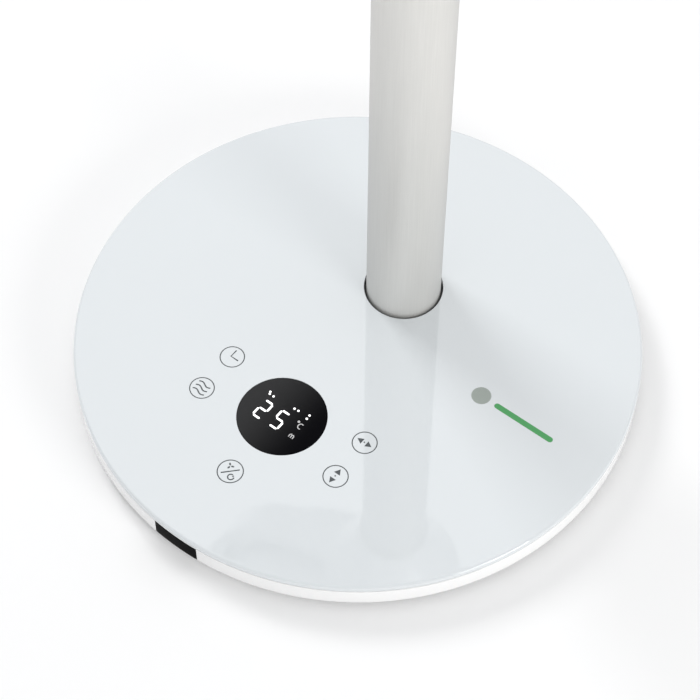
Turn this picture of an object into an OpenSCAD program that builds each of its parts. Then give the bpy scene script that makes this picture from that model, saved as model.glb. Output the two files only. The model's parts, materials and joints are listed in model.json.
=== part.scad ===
// Ceramic space heater on a round pedestal base: a flat base with a touch panel,
// a tube column, a swivelling fork and a round tilting head with a fan and a
// ceramic heating element. Front is -Y, the origin is the centre of the footprint.

/* [Base] */
// Radius of the glass top, which is the widest part of the base
base_r = 150; // [145:1:160]
// Height of the glass top's upper face above the floor
base_h = 20.5; // [20.5:0.5:22]
// Thickness of the glass top
glass_t = 3.8; // [3:0.2:4.4]
// Shadow gap between the glass top and the tray below it
glass_gap = 0.7; // [0.4:0.1:1]
// Number of rubber feet
feet_count = 6; // [4:1:8]
// Radius of the circle that the feet stand on
feet_circle_r = 122; // [110:1:126]

/* [Touch panel] */
// Radius of the round display window
display_r = 23.6; // [20:0.2:26]
// Distance of the display's centre in front of the base's centre
display_d = 64; // [60:1:68]
// Distance of the side touch keys from the display's centre
key_circle_r = 45.3; // [42:0.5:48]
// Angle of each side touch key above or below the display's centre line
key_angle = 16; // [14:1:20]
// Distance of the power key in front of the display's centre
power_key_d = 42; // [38:1:44]

/* [Column] */
// Distance of the column's axis behind the base's centre
pole_y = 40; // [34:1:44]
// Outer radius of the column tube
pole_r = 20; // [18:0.5:22]
// Height above the floor where the neck begins
neck_z = 290; // [280:5:420]

/* [Head] */
// Outer radius of the head
head_r = 138; // [136:1:139]
// Number of full-length vanes in the front grille
grille_vanes = 36; // [24:2:40]
// Number of blades on the fan
fan_blades = 7; // [5:1:9]

/* [Hidden] */
$fn = 96;
cut = 0.5;                       // how far a cutter runs past the face it cuts

// Base heights, from the floor up
foot_h = 3.5;
plate_t = 2;
plate_top = foot_h + plate_t;
glass_z = base_h - glass_t;
tray_top = glass_z - glass_gap;
ledge_t = 2;
ledge_r = 132;
wall_t = 2.2;
tray_edge = 2.4;                 // radius of the tray's lower edge
plate_r = 140.6;
ballast_t = 4;
ballast_r = 126;
base_screw_count = 6;
boss_circle_r = 136;
boss_r = 4;
base_screw_r = 1.5;
base_screw_len = 8;
base_head_r = 3;
base_head_h = 1;
rim_edge = 1.6;                  // radius of the glass top's polished edge
gasket_out = 148.6;
gasket_in = 137;
ir_half_w = 13.5;
ir_back_y = -143.8;
ir_low_z = 4.6;
gland_z = 10;
gland_r = 4.38;
gland_hole_r = 4.4;
gland_bore_r = 3.3;
gland_len = 13;
tip_pos = [-75, 55];
tip_half = 9;
tip_well_r = 5.2;
tip_well_h = 9;
plunger_r = 4;
plunger_h = 11;
plunger_flange_r = 5;
plunger_flange_h = 1.4;
post_r = 2.5;                    // radius of the posts that the boards stand on
board_t = 1.2;
display_board_z = tray_top - 1.6 - board_t;
control_board_z = plate_top + 2;

// Column, neck and swing drive
pole_wall = 1.6;
pole_hole_r = pole_r + 1.3;
socket_r = 25;
socket_h = 10;
socket_flange_r = 34;
socket_flange_h = 3.5;
socket_bore_r = 14;
socket_screw_count = 4;
socket_screw_angle = 45;
socket_screw_circle_r = 29;
socket_screw_r = 2.45;
socket_head_r = 4.6;
pole_foot_z = plate_top + socket_flange_h;
pole_seat_r = pole_r + 0.02;
collar_h = 5;
neck_h = 48;
neck_top = neck_z + neck_h;
neck_foot_r = pole_r + 1.8;
neck_top_r = 44;
neck_wall = 2.4;
pole_top_z = neck_z + 14;
cover_t = 4;
spindle_r = 9;
spindle_bore_r = 6.5;
bush_r = 12;
running = 0.05;                  // radial clearance of a shaft in its bearing
gear_m = 1;                      // tooth module of both drives
gear_pa = 25;                    // pressure angle
gear_t = 5;
swing_teeth = 28;
pinion_teeth = 12;
swing_centre = gear_m * (swing_teeth + pinion_teeth) / 2;
swing_gear_z = neck_top - 25;
motor_r = 9.5;
shaft_r = 1.5;
bush_drop = 3;                   // how far the swing bush reaches below the cover
thrust_gap = 0.2;
thrust_t = 1;
turntable_z = neck_top + thrust_t + thrust_gap;
neck_screw_count = 3;
neck_screw_angle = 200;
neck_screw_circle_r = 33.5;
neck_screw_r = 1.45;
neck_head_r = 2.9;
neck_boss_h = 7;
gear_stub_h = 10;                // length of a pinion's shaft past its teeth
turntable_h = 14;
turntable_flat_r = 18;
spindle_depth = 9;               // how far the spindle reaches up into the turntable

// Fork and head
fork_in_r = 147;
fork_out_r = 157;
fork_w = 30;
groove_r = fork_in_r + 4.5;
groove_w = 18;
strip_t = 1.6;
head_z = turntable_z + 8 + fork_out_r;
pin_r = 7;
pin_bore_r = 4;
pin_in = 112;
pin_out = 158;
hub_out = 160;
hub_r = 21;
cap_r = 18;
cap_t = 2.6;
tilt_teeth = 26;
tilt_centre = gear_m * (tilt_teeth + pinion_teeth) / 2;
tilt_gear_x = 113;
tilt_motor_r = 8;
tilt_motor_len = 14;
tilt_stub_h = 9;
bush_out_r = 9;
pivot_boss_r = 10.8;
bush_in_x = 127;
shell_t = 2.5;
split_w = 16;
aperture_r = 122;
front_lip_w = 36;
front_reach = 18;
back_flat_r = 70;
back_wall_w = -22;
back_reach = 36;
vent_in = [40, 36, 4];           // start radius, length and width of an inner air slot
vent_out = [82, 32, 5.6];
grille_r = 112;
grille_hub_r = 22;
grille_rim_w = 4;
grille_ring_r = [49, 78.5];
grille_ring_w = 3;
half_vane_r = 50.5;
bezel_h = 8;
bezel_crown = 2.4;
grille_w = 46;
vane_h = 5;
duct_r = 106;
duct_wall = 2.5;
core_w = 22;
core_d = 16;
core_r = 103;
frame_r = aperture_r + shell_t;
bar_pitch = 24;
bar_t = 5;
bar_rows = 7;
fin_pitch = 6;
fin_t = 0.6;
fan_r = 101;
fan_hub_r = 24;
fan_hub_w = -12;
fan_hub_h = 22;
fan_shaft_r = 4;
fan_shaft_len = 56;
fan_pitch = 28;
blade_t = 2;
blade_half_chord = 24;
nut_r = 10;
nut_h = 3;
motor_body_r = 28;
motor_len = 24;
motor_boss_r = 12;
motor_boss_h = 3;
mount_w = -24;
mount_t = 4;
screw_circle_r = 128;
head_screw_count = 8;
head_screw_angle = 22.5;
screw_seat_w = -6;               // where the head screws' heads bear
head_screw_r = 1.45;
head_screw_len = 30;
head_head_r = 3;
head_head_h = 2;
filter_r = 86;
filter_in_r = 30;
filter_w = -54;
filter_t = 1.5;
cutout_x = 18;
cutout_y = 116.5;
cutout_r = 6.5;
cutout_h = 8;
terminal_size = [36, 13, 18];
terminal_y = -125;
head_wire_r = 2.2;
head_wire_circle_r = 120;
fork_wire_r = 1.25;
grey = [0.15, 0.15, 0.16];

// ---------------------------------------------------------------- functions

function arc(c, r, a0, a1, n) =
    [for (i = [0:n]) let (a = a0 + (a1 - a0) * i / n) c + r * [cos(a), sin(a)]];

// A quarter ellipse from angle a0 to a1, with its centre at c and half axes h
function ellipse_arc(c, h, a0, a1, n) =
    [for (i = [0:n]) let (a = a0 + (a1 - a0) * i / n)
        c + [h[0] * cos(a), h[1] * sin(a)]];

// Roll angle of an involute from base radius rb out to radius r, in degrees
function involute_angle(rb, r) =
    let (t = sqrt(max(0, r * r / (rb * rb) - 1))) t * 180 / PI - atan(t);

// Outline of a spur gear whose first tooth points along +X
function gear_outline(teeth, m, play) =
    let (
        rp = m * teeth / 2,
        rb = rp * cos(gear_pa),
        ra = rp + 0.9 * m,
        rf = rp - 1.2 * m,
        r0 = max(rb, rf),
        half = 90 / teeth - play / rp * 180 / PI + involute_angle(rb, rp),
        flank = [for (i = [0:4]) let (r = r0 + (ra - r0) * i / 4)
            [r, half - involute_angle(rb, r)]]
    )
    [for (k = [0:teeth - 1]) let (c = 360 * k / teeth)
        each concat(
            [rf * [cos(c - half), sin(c - half)]],
            [for (i = [0:4]) flank[i][0] * [cos(c - flank[i][1]), sin(c - flank[i][1])]],
            [for (i = [4:-1:0]) flank[i][0] * [cos(c + flank[i][1]), sin(c + flank[i][1])]],
            [rf * [cos(c + half), sin(c + half)]])];

// Outer radius of the neck at a share s of its height
function neck_r_at(s) = neck_foot_r + (neck_top_r - neck_foot_r) * pow(s, 1.3);

// Half length of a row that fits the round heater opening up to height y
function row_half(y) = sqrt(pow(core_r - 0.5, 2) - y * y);

// Centre line of a grille vane, which sweeps forwards as it runs outwards
function vane_point(r, side) =
    let (
        start = grille_hub_r - 2,
        sweep = 26,
        a = sweep * pow((r - start) / (grille_r - start), 1.2) + side / r * 180 / PI
    )
    r * [cos(a), sin(a)];

// Points and faces of a wire of radius r that follows a helix
function helix_ring(r, coil_r, a, z, sides) =
    [for (k = [0:sides - 1]) let (b = 360 * k / sides)
        [(coil_r + r * cos(b)) * cos(a), (coil_r + r * cos(b)) * sin(a), z + r * sin(b)]];
function tube_faces(rings, sides) = concat(
    [[for (k = [0:sides - 1]) k]],
    [[for (k = [sides - 1:-1:0]) (rings - 1) * sides + k]],
    [for (i = [0:rings - 2], k = [0:sides - 1])
        let (k2 = (k + 1) % sides)
        [i * sides + k, (i + 1) * sides + k, (i + 1) * sides + k2, i * sides + k2]]);

// Places of the five touch keys on the base
key_places = concat(
    [for (side = [0, 180], up = [-1, 1])
        let (a = side + up * key_angle)
        [key_circle_r * cos(a), key_circle_r * sin(a) - display_d]],
    [[0, -display_d - power_key_d]]);

// ---------------------------------------------------------------- helpers

module ring(z0, z1, r_out, r_in) {
    difference() {
        translate([0, 0, z0]) cylinder(h = z1 - z0, r = r_out);
        translate([0, 0, z0 - cut]) cylinder(h = z1 - z0 + 2 * cut, r = r_in);
    }
}

module block(x0, x1, y0, y1, z0, z1) {
    translate([x0, y0, z0]) cube([x1 - x0, y1 - y0, z1 - z0]);
}

module around(count, start = 0) {
    for (i = [0:count - 1]) rotate([0, 0, start + 360 * i / count]) children();
}

module at_pole() { translate([0, pole_y, 0]) children(); }

// Head axes: x is to the right, y is up and z runs forwards out of the grille
module on_head() { translate([0, pole_y, head_z]) rotate([90, 0, 0]) children(); }

module rod_x(x0, x1, r) { translate([x0, 0, 0]) rotate([0, 90, 0]) cylinder(h = x1 - x0, r = r); }

module tube_x(x0, x1, r_out, r_in) {
    difference() {
        rod_x(x0, x1, r_out);
        rod_x(x0 - cut, x1 + cut, r_in);
    }
}

module both_sides() { for (s = [0, 1]) mirror([s, 0, 0]) children(); }

module gear(teeth, start, play = 0.12) {
    rotate([0, 0, start]) linear_extrude(height = gear_t) polygon(gear_outline(teeth, gear_m, play));
}

// ---------------------------------------------------------------- base

module tray_solid() {
    out_r = base_r - 0.1;
    rotate_extrude() polygon(concat(
        [[plate_r + 0.4, foot_h]],
        arc([out_r - tray_edge, foot_h + tray_edge], tray_edge, -90, 0, 5),
        [[out_r, tray_top - 0.5], [out_r - 0.5, tray_top], [ledge_r, tray_top],
         [ledge_r, tray_top - ledge_t], [out_r - wall_t, tray_top - ledge_t],
         [out_r - wall_t, plate_top + 1.4], [out_r - wall_t - 1.2, plate_top + 0.6],
         [plate_r + 0.4, plate_top + 0.6]]));
}

module ir_cut() { block(-ir_half_w, ir_half_w, -base_r - 5, ir_back_y, ir_low_z, base_h); }

module gland_place() { translate([0, base_r - 2.2, gland_z]) rotate([90, 0, 0]) children(); }

module base_tray() {
    color("white") difference() {
        union() {
            tray_solid();
            around(base_screw_count) translate([boss_circle_r, 0, plate_top])
                cylinder(h = tray_top - ledge_t - plate_top + 1, r = boss_r);
        }
        around(base_screw_count) translate([boss_circle_r, 0, plate_top - cut])
            cylinder(h = base_screw_len, r = base_screw_r + 0.1);
        ir_cut();
        gland_place() translate([0, 0, -7]) cylinder(h = 30, r = gland_hole_r);
    }
}

module ir_window() {
    color([0.02, 0.02, 0.03]) intersection() {
        tray_solid();
        ir_cut();
    }
}

module bottom_plate() {
    color([0.2, 0.2, 0.21]) difference() {
        translate([0, 0, foot_h]) cylinder(h = plate_t, r = plate_r);
        around(base_screw_count) translate([boss_circle_r, 0, foot_h - cut]) {
            cylinder(h = plate_t + 2 * cut, r = base_screw_r + 0.3);
            cylinder(h = base_head_h + cut, r = base_head_r + 0.2);
        }
        tip_place() translate([0, 0, foot_h - cut]) cylinder(h = plate_t + 2 * cut, r = plunger_r + 0.3);
        socket_screw_places() translate([0, 0, foot_h - cut]) {
            cylinder(h = plate_t + 2 * cut, r = socket_screw_r + 0.25);
            cylinder(h = base_head_h + cut, r = socket_head_r + 0.2);
        }
    }
}

module base_screws() {
    color("silver") around(base_screw_count) translate([boss_circle_r, 0, foot_h]) {
        cylinder(h = base_head_h, r = base_head_r);
        cylinder(h = base_screw_len, r = base_screw_r);
    }
}

module rubber_feet() {
    foot_r = 8;
    foot_edge = 1;
    color([0.12, 0.12, 0.12]) around(feet_count, 30) translate([feet_circle_r, 0, 0]) {
        cylinder(h = foot_edge, r1 = foot_r - 0.6, r2 = foot_r);
        translate([0, 0, foot_edge]) cylinder(h = foot_h - foot_edge, r = foot_r);
    }
}

module top_glass() {
    chamfer = 0.5;
    hole_h = glass_t + 2 * cut;
    color([0.9, 0.93, 0.94]) difference() {
        rotate_extrude() polygon(concat(
            [[0, glass_z], [base_r - chamfer, glass_z], [base_r, glass_z + chamfer]],
            arc([base_r - rim_edge, base_h - rim_edge], rim_edge, 0, 90, 6),
            [[0, base_h]]));
        at_pole() translate([0, 0, glass_z - cut]) cylinder(h = hole_h, r = pole_hole_r);
        translate([0, -display_d, glass_z - cut]) cylinder(h = hole_h, r = display_r);
    }
}

module glass_gasket() {
    color([0.25, 0.25, 0.27]) ring(tray_top, glass_z, gasket_out, gasket_in);
}

module display_window() {
    color([0.03, 0.03, 0.04]) translate([0, -display_d, glass_z])
        cylinder(h = glass_t, r = display_r - 0.04);
}

// A circuit board from one corner to the other on four posts set in from its corners
module board_on_posts(x0, x1, y0, y1, z) {
    inset = 4;
    color([0.05, 0.32, 0.2]) block(x0, x1, y0, y1, z, z + board_t);
    color([0.85, 0.85, 0.8]) for (x = [x0 + inset, x1 - inset], y = [y0 + inset, y1 - inset])
        translate([x, y, plate_top]) cylinder(h = z - plate_top, r = post_r);
}

// A block of height h that stands on the upper face of the low boards
module board_part(x0, x1, y0, y1, h, tint) {
    top = control_board_z + board_t;
    color(tint) block(x0, x1, y0, y1, top, top + h);
}

module display_board() { board_on_posts(-52, 52, -113, -38, display_board_z); }

module led_module() {
    half = [18, 11];
    color([0.1, 0.1, 0.1]) block(-half[0], half[0], -display_d - half[1], -display_d + half[1],
        display_board_z + board_t, glass_z - 0.2);
}

module touch_springs() {
    color([0.8, 0.7, 0.4]) for (p = key_places) translate([p[0], p[1], 0])
        ring(display_board_z + board_t, glass_z, 5, 4.1);
}

module control_board() {
    board_on_posts(-42, 42, -104, -46, control_board_z);
    board_part(-10, 6, -84, -68, 1.6, [0.1, 0.1, 0.1]);
    board_part(16, 26, -94, -86, 1.4, [0.1, 0.1, 0.1]);
    board_part(-36, -22, -62, -56, 3, [0.9, 0.9, 0.85]);
}

module power_board() {
    relay_h = 7;
    capacitor = [88, 44, control_board_z + board_t];
    board_on_posts(50, 108, 0, 66, control_board_z);
    board_part(54, 72, 6, 21, relay_h, [0.1, 0.15, 0.4]);
    board_part(54, 72, 26, 41, relay_h, [0.1, 0.15, 0.4]);
    board_part(80, 98, 8, 26, relay_h - 0.5, [0.8, 0.7, 0.2]);
    board_part(54, 72, 50, 60, relay_h - 0.5, [0.2, 0.6, 0.3]);
    color(grey) translate(capacitor) cylinder(h = relay_h, r = 7);
}

// A disc with openings for the boards, the cord's way in, the column's socket and the switch
module ballast_plate() {
    front_opening = [116, 101];
    side_opening = [ballast_r, 78];
    cord_opening = [28, 50];
    switch_side = 26;
    color([0.45, 0.46, 0.48]) difference() {
        translate([0, 0, plate_top]) cylinder(h = ballast_t, r = ballast_r);
        translate([0, 0, plate_top - cut]) linear_extrude(height = ballast_t + 2 * cut) {
            translate([-front_opening[0] / 2, -ballast_r - 5]) square(front_opening);
            translate([44, -6]) square(side_opening);
            translate([-cord_opening[0] / 2, 92]) square(cord_opening);
            translate([0, pole_y]) circle(r = socket_flange_r + 2);
            translate(tip_pos - [switch_side / 2, switch_side / 2]) square(switch_side);
        }
    }
}

module socket_screw_places() {
    at_pole() around(socket_screw_count, socket_screw_angle)
        translate([socket_screw_circle_r, 0, 0]) children();
}

module pole_socket() {
    color([0.3, 0.3, 0.32]) difference() {
        at_pole() translate([0, 0, plate_top]) {
            cylinder(h = socket_flange_h, r = socket_flange_r);
            cylinder(h = socket_h, r = socket_r);
        }
        at_pole() translate([0, 0, plate_top - cut]) cylinder(h = socket_h + 2 * cut, r = socket_bore_r);
        at_pole() translate([0, 0, pole_foot_z]) cylinder(h = socket_h, r = pole_seat_r);
        socket_screw_places() translate([0, 0, plate_top - cut])
            cylinder(h = plate_t + 2 * cut, r = socket_screw_r + 0.05);
    }
}

module socket_screws() {
    color("silver") socket_screw_places() translate([0, 0, foot_h]) {
        cylinder(h = base_head_h, r = socket_head_r);
        cylinder(h = plate_t + 2.4, r = socket_screw_r);
    }
}

module ir_receiver() {
    color([0.05, 0.32, 0.2]) block(-7, 7, -136.2, -135, 6.4, 13.2);
    color([0.06, 0.06, 0.08]) {
        block(-3, 3, -139.4, -136.2, 7, 12.6);
        translate([0, -139.4, 9.8]) rotate([90, 0, 0]) cylinder(h = 2, r = 2.2);
    }
}

module tip_place() { translate([tip_pos[0], tip_pos[1], 0]) children(); }

module tip_switch() {
    color(grey) tip_place() difference() {
        block(-tip_half, tip_half, -tip_half, tip_half, plate_top, glass_z - 0.7);
        translate([0, 0, plate_top - cut]) cylinder(h = tip_well_h + cut, r = tip_well_r);
    }
}

module tip_plunger() {
    color([0.85, 0.3, 0.2]) tip_place() {
        cylinder(h = plunger_h, r = plunger_r);
        translate([0, 0, plunger_h - plunger_flange_h])
            cylinder(h = plunger_flange_h, r = plunger_flange_r);
    }
}

module tip_spring() {
    turns = 3;
    steps = 12;
    sides = 6;
    wire_r = 0.3;
    coil_r = 3.6;
    low = plunger_h + wire_r;
    high = plate_top + tip_well_h - wire_r;
    rings = turns * steps;
    points = [for (i = [0:rings])
        each helix_ring(wire_r, coil_r, 360 * i / steps, low + (high - low) * i / rings, sides)];
    color("silver") tip_place() polyhedron(points = points, faces = tube_faces(rings + 1, sides));
}

module cord_gland() {
    color(grey) gland_place() ring(0, gland_len, gland_r, gland_bore_r);
}

// ---------------------------------------------------------------- column and neck

module pole_tube() {
    color([0.8, 0.79, 0.77]) at_pole() ring(pole_foot_z, pole_top_z, pole_r, pole_r - pole_wall);
}

module pole_collar() {
    color([0.7, 0.69, 0.66]) at_pole() ring(neck_z - collar_h, neck_z, neck_foot_r, pole_seat_r);
}

module pole_wiring() {
    plug_h = 8;
    top = pole_top_z - plug_h;
    color([0.1, 0.1, 0.1]) at_pole() {
        translate([0, 0, plate_top]) cylinder(h = top - plate_top, r = 3.2);
        translate([0, 0, top]) cylinder(h = plug_h, r = 5.5);
    }
}

module neck_screw_places() {
    at_pole() around(neck_screw_count, neck_screw_angle)
        translate([neck_screw_circle_r, 0, neck_top - cover_t]) children();
}

module neck_shell() {
    shelf = pole_top_z + 3;
    s0 = (shelf - neck_z) / neck_h;
    outer = [for (i = [0:10]) [neck_r_at(i / 10), neck_z + neck_h * i / 10]];
    inner = [for (i = [8:-1:0]) let (s = s0 + (0.87 - s0) * i / 8)
        [neck_r_at(s) - neck_wall, neck_z + neck_h * s]];
    seat_r = 37.2;
    shelf_r = 14;
    color("white") difference() {
        union() {
            at_pole() rotate_extrude() polygon(concat(
                [[pole_seat_r, neck_z]], outer,
                [[neck_top_r - neck_wall, neck_top], [neck_top_r - neck_wall, neck_top - cover_t],
                 [seat_r, neck_top - cover_t]],
                inner,
                [[shelf_r, shelf], [shelf_r, pole_top_z], [pole_seat_r, pole_top_z]]));
            neck_screw_places() translate([0, 0, -neck_boss_h]) cylinder(h = neck_boss_h, r = 3);
        }
        neck_screw_places() translate([0, 0, cut - neck_boss_h])
            cylinder(h = neck_boss_h + 1, r = neck_screw_r + 0.05);
    }
}

module neck_cover() {
    color([0.3, 0.3, 0.32]) difference() {
        at_pole() ring(neck_top - cover_t, neck_top, neck_top_r - neck_wall - 0.1, bush_r);
        neck_screw_places() {
            translate([0, 0, -cut]) cylinder(h = cover_t + 2 * cut, r = neck_screw_r + 0.15);
            translate([0, 0, 2]) cylinder(h = cover_t, r = neck_head_r + 0.2);
        }
    }
}

module neck_screws() {
    depth = 6;
    color("silver") neck_screw_places() {
        translate([0, 0, -depth]) cylinder(h = depth + 2, r = neck_screw_r);
        translate([0, 0, 2]) cylinder(h = 1.8, r = neck_head_r);
    }
}

module swing_bush() {
    thrust_r = 16;
    color([0.75, 0.6, 0.3]) at_pole() difference() {
        union() {
            translate([0, 0, neck_top - cover_t - bush_drop])
                cylinder(h = cover_t + bush_drop, r = bush_r - 1.7);
            translate([0, 0, neck_top - cover_t]) cylinder(h = cover_t, r = bush_r);
            translate([0, 0, neck_top]) cylinder(h = thrust_t, r = thrust_r);
        }
        translate([0, 0, neck_top - 10]) cylinder(h = 20, r = spindle_r + running);
    }
}

module swing_place() { at_pole() translate([0, swing_centre, 0]) children(); }

module swing_motor() {
    z = swing_gear_z + gear_t + 1.5;
    color([0.7, 0.7, 0.72]) swing_place() difference() {
        translate([0, 0, z]) cylinder(h = neck_top - cover_t - z, r = motor_r);
        translate([0, 0, z - cut]) cylinder(h = gear_stub_h + 1, r = shaft_r + running);
    }
}

module swing_pinion() {
    color([0.95, 0.95, 0.9]) swing_place() translate([0, 0, swing_gear_z]) {
        gear(pinion_teeth, 270 - 180 / pinion_teeth);
        translate([0, 0, gear_t]) cylinder(h = gear_stub_h, r = shaft_r);
    }
}

module swing_gear() {
    color([0.95, 0.95, 0.9]) at_pole() translate([0, 0, swing_gear_z]) difference() {
        gear(swing_teeth, 90);
        translate([0, 0, -cut]) cylinder(h = gear_t + 2 * cut, r = spindle_r);
    }
}

module spindle() {
    collar_z = neck_top - cover_t - bush_drop - thrust_gap;
    color([0.6, 0.6, 0.62]) at_pole() {
        ring(swing_gear_z - 4, turntable_z + spindle_depth, spindle_r, spindle_bore_r);
        ring(collar_z - 2, collar_z, spindle_r + 1.2, spindle_bore_r);
    }
}

// ---------------------------------------------------------------- fork

module fork_band(r0, r1, w, trim) {
    rotate([0, 0, 180 + trim]) rotate_extrude(angle = 180 - 2 * trim)
        translate([r0, -w / 2]) square([r1 - r0, w]);
}

module yoke_fork() {
    c = 3;
    half = fork_w / 2;
    section = [[fork_in_r, 1 - half], [fork_in_r + 1, -half], [fork_out_r - c, -half],
               [fork_out_r, c - half], [fork_out_r, half - c], [fork_out_r - c, half],
               [fork_in_r + 1, half], [fork_in_r, half - 1]];
    color("white") difference() {
        union() {
            on_head() rotate([0, 0, 180]) rotate_extrude(angle = 180) polygon(section);
            on_head() both_sides() rod_x(fork_in_r, hub_out, hub_r);
            at_pole() rotate_extrude() polygon(concat(
                [[0, turntable_z], [neck_top_r - 1, turntable_z], [neck_top_r, turntable_z + 1]],
                ellipse_arc([turntable_flat_r, turntable_z + 4],
                    [neck_top_r - turntable_flat_r, turntable_h - 4], 0, 90, 6),
                [[0, turntable_z + turntable_h]]));
        }
        on_head() {
            fork_band(fork_in_r - cut, groove_r, groove_w, 8.6);
            both_sides() rod_x(fork_in_r - cut, hub_out + cut, pin_r);
        }
        at_pole() translate([0, 0, turntable_z - cut]) {
            cylinder(h = spindle_depth + cut, r = spindle_r);
            cylinder(h = turntable_h + 6, r = spindle_bore_r);
        }
    }
}

module yoke_strip() {
    color([0.85, 0.86, 0.87]) on_head() fork_band(fork_in_r, fork_in_r + strip_t, groove_w - 0.2, 8.8);
}

module yoke_wiring() {
    color([0.1, 0.1, 0.1]) on_head() rotate([0, 0, 190]) rotate_extrude(angle = 76)
        translate([groove_r - fork_wire_r - 0.15, 0]) circle(r = fork_wire_r);
}

module yoke_caps() {
    color([0.8, 0.79, 0.77]) on_head() both_sides() rotate([0, 90, 0]) rotate_extrude()
        polygon(concat([[0, hub_out], [cap_r, hub_out]],
            ellipse_arc([cap_r - 3, hub_out], [3, cap_t], 0, 90, 5),
            [[0, hub_out + cap_t]]));
}

module pivot_pins() {
    color([0.6, 0.6, 0.62]) on_head() both_sides() tube_x(pin_in, pin_out, pin_r, pin_bore_r);
}

// ---------------------------------------------------------------- head drive

module tilt_gear() {
    color([0.95, 0.95, 0.9]) on_head() translate([tilt_gear_x, 0, 0]) rotate([0, 90, 0]) difference() {
        gear(tilt_teeth, 0);
        translate([0, 0, -cut]) cylinder(h = gear_t + 2 * cut, r = pin_r);
    }
}

module tilt_place() { on_head() translate([tilt_gear_x, 0, -tilt_centre]) rotate([0, 90, 0]) children(); }

module tilt_pinion() {
    color([0.95, 0.95, 0.9]) tilt_place() {
        gear(pinion_teeth, 180 - 180 / pinion_teeth);
        translate([0, 0, gear_t]) cylinder(h = tilt_stub_h, r = shaft_r);
    }
}

module tilt_motor() {
    color([0.7, 0.7, 0.72]) tilt_place() difference() {
        translate([0, 0, gear_t + 1]) cylinder(h = tilt_motor_len, r = tilt_motor_r);
        translate([0, 0, gear_t + 1 - cut]) cylinder(h = tilt_stub_h + cut, r = shaft_r + running);
    }
}

module pivot_bushes() {
    color([0.75, 0.6, 0.3]) on_head() both_sides()
        tube_x(bush_in_x, head_r + 0.6, bush_out_r, pin_r + running);
}

// ---------------------------------------------------------------- head shells

module rear_profile() {
    centre = [back_flat_r, back_wall_w];
    half = [head_r - back_flat_r, back_reach];
    back_w = back_wall_w - back_reach;
    polygon(concat(
        [[head_r, split_w]],
        ellipse_arc(centre, half, 0, -90, 8),
        [[0, back_w], [0, back_w + shell_t]],
        ellipse_arc(centre, half - [shell_t, shell_t], -90, 0, 8),
        [[head_r - shell_t, split_w]]));
}

module head_screw_places(z) {
    around(head_screw_count, head_screw_angle) translate([screw_circle_r, 0, z]) children();
}

// A slot of a vent, given as start radius, length and width, cut through the back
module vent_slot(vent, depth) {
    translate([vent[0], -vent[2] / 2, -70]) cube([vent[1], vent[2], depth]);
}

module rear_shell() {
    well_w = -34.5;
    color("white") on_head() difference() {
        union() {
            rotate_extrude() rear_profile();
            both_sides() rod_x(bush_in_x, head_r - 1, pivot_boss_r);
            head_screw_places(well_w) cylinder(h = split_w - well_w, r = 4.8);
        }
        both_sides() rod_x(bush_in_x - 1, head_r + 5, bush_out_r);
        head_screw_places(screw_seat_w - cut) cylinder(h = head_screw_len, r = head_screw_r + 0.15);
        head_screw_places(screw_seat_w - 50) cylinder(h = 50, r = head_head_r + 0.2);
        around(grille_vanes) {
            vent_slot(vent_in, 50);
            vent_slot(vent_out, 40);
        }
    }
}

module front_shell() {
    boss_h = 16;
    half = [head_r - aperture_r, front_reach];
    color("white") on_head() difference() {
        union() {
            rotate_extrude() polygon(concat(
                [[head_r, split_w]],
                ellipse_arc([aperture_r, front_lip_w], half, 0, 90, 7),
                [[aperture_r, core_w + core_d], [frame_r, core_w + core_d]],
                ellipse_arc([aperture_r, front_lip_w], half - [shell_t, shell_t], 79, 0, 6),
                [[head_r - shell_t, split_w]]));
            head_screw_places(split_w) {
                cylinder(h = boss_h, r = 3.4);
                block(2, head_r - screw_circle_r - 2, -1, 1, 2, boss_h);
            }
        }
        head_screw_places(split_w - cut) cylinder(h = boss_h - 4, r = head_screw_r + 0.05);
    }
}

module bezel_ring() {
    top = grille_w + bezel_h;
    color([0.8, 0.79, 0.77]) on_head() rotate_extrude() polygon(concat(
        [[grille_r, grille_w], [aperture_r, grille_w], [aperture_r, top]],
        ellipse_arc([aperture_r - 4, top], [4, bezel_crown], 0, 90, 4),
        ellipse_arc([grille_r + 3, top], [3, bezel_crown], 90, 180, 4)));
}

module vane(r0, r1) {
    n = 6;
    side = 0.9;
    linear_extrude(height = vane_h) polygon(concat(
        [for (i = [0:n]) vane_point(r0 + (r1 - r0) * i / n, side)],
        [for (i = [n:-1:0]) vane_point(r0 + (r1 - r0) * i / n, -side)]));
}

module front_grille() {
    lap = 0.5;                   // how far rims and rings reach past the vanes
    dome = 3.5;
    end_r = grille_r - grille_rim_w / 2;
    color([0.88, 0.89, 0.9]) on_head() translate([0, 0, grille_w]) {
        ring(-lap, vane_h + lap, grille_r, grille_r - grille_rim_w);
        for (r = grille_ring_r) ring(-lap, 2, r + grille_ring_w, r);
        rotate_extrude() polygon(concat(
            [[0, -1], [grille_hub_r, -1], [grille_hub_r, vane_h + lap]],
            ellipse_arc([0, vane_h + lap], [grille_hub_r, dome], 0, 90, 6)));
        around(grille_vanes) vane(grille_hub_r - 2, end_r);
        around(grille_vanes, 180 / grille_vanes) vane(half_vane_r, end_r);
    }
}

module head_screws() {
    color("silver") on_head() head_screw_places(screw_seat_w) {
        translate([0, 0, -head_head_h]) cylinder(h = head_head_h, r = head_head_r);
        cylinder(h = head_screw_len, r = head_screw_r);
    }
}

module dust_filter() {
    color(grey) on_head() ring(filter_w, filter_w + filter_t, filter_r, filter_in_r);
}

// ---------------------------------------------------------------- heater and fan

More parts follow.
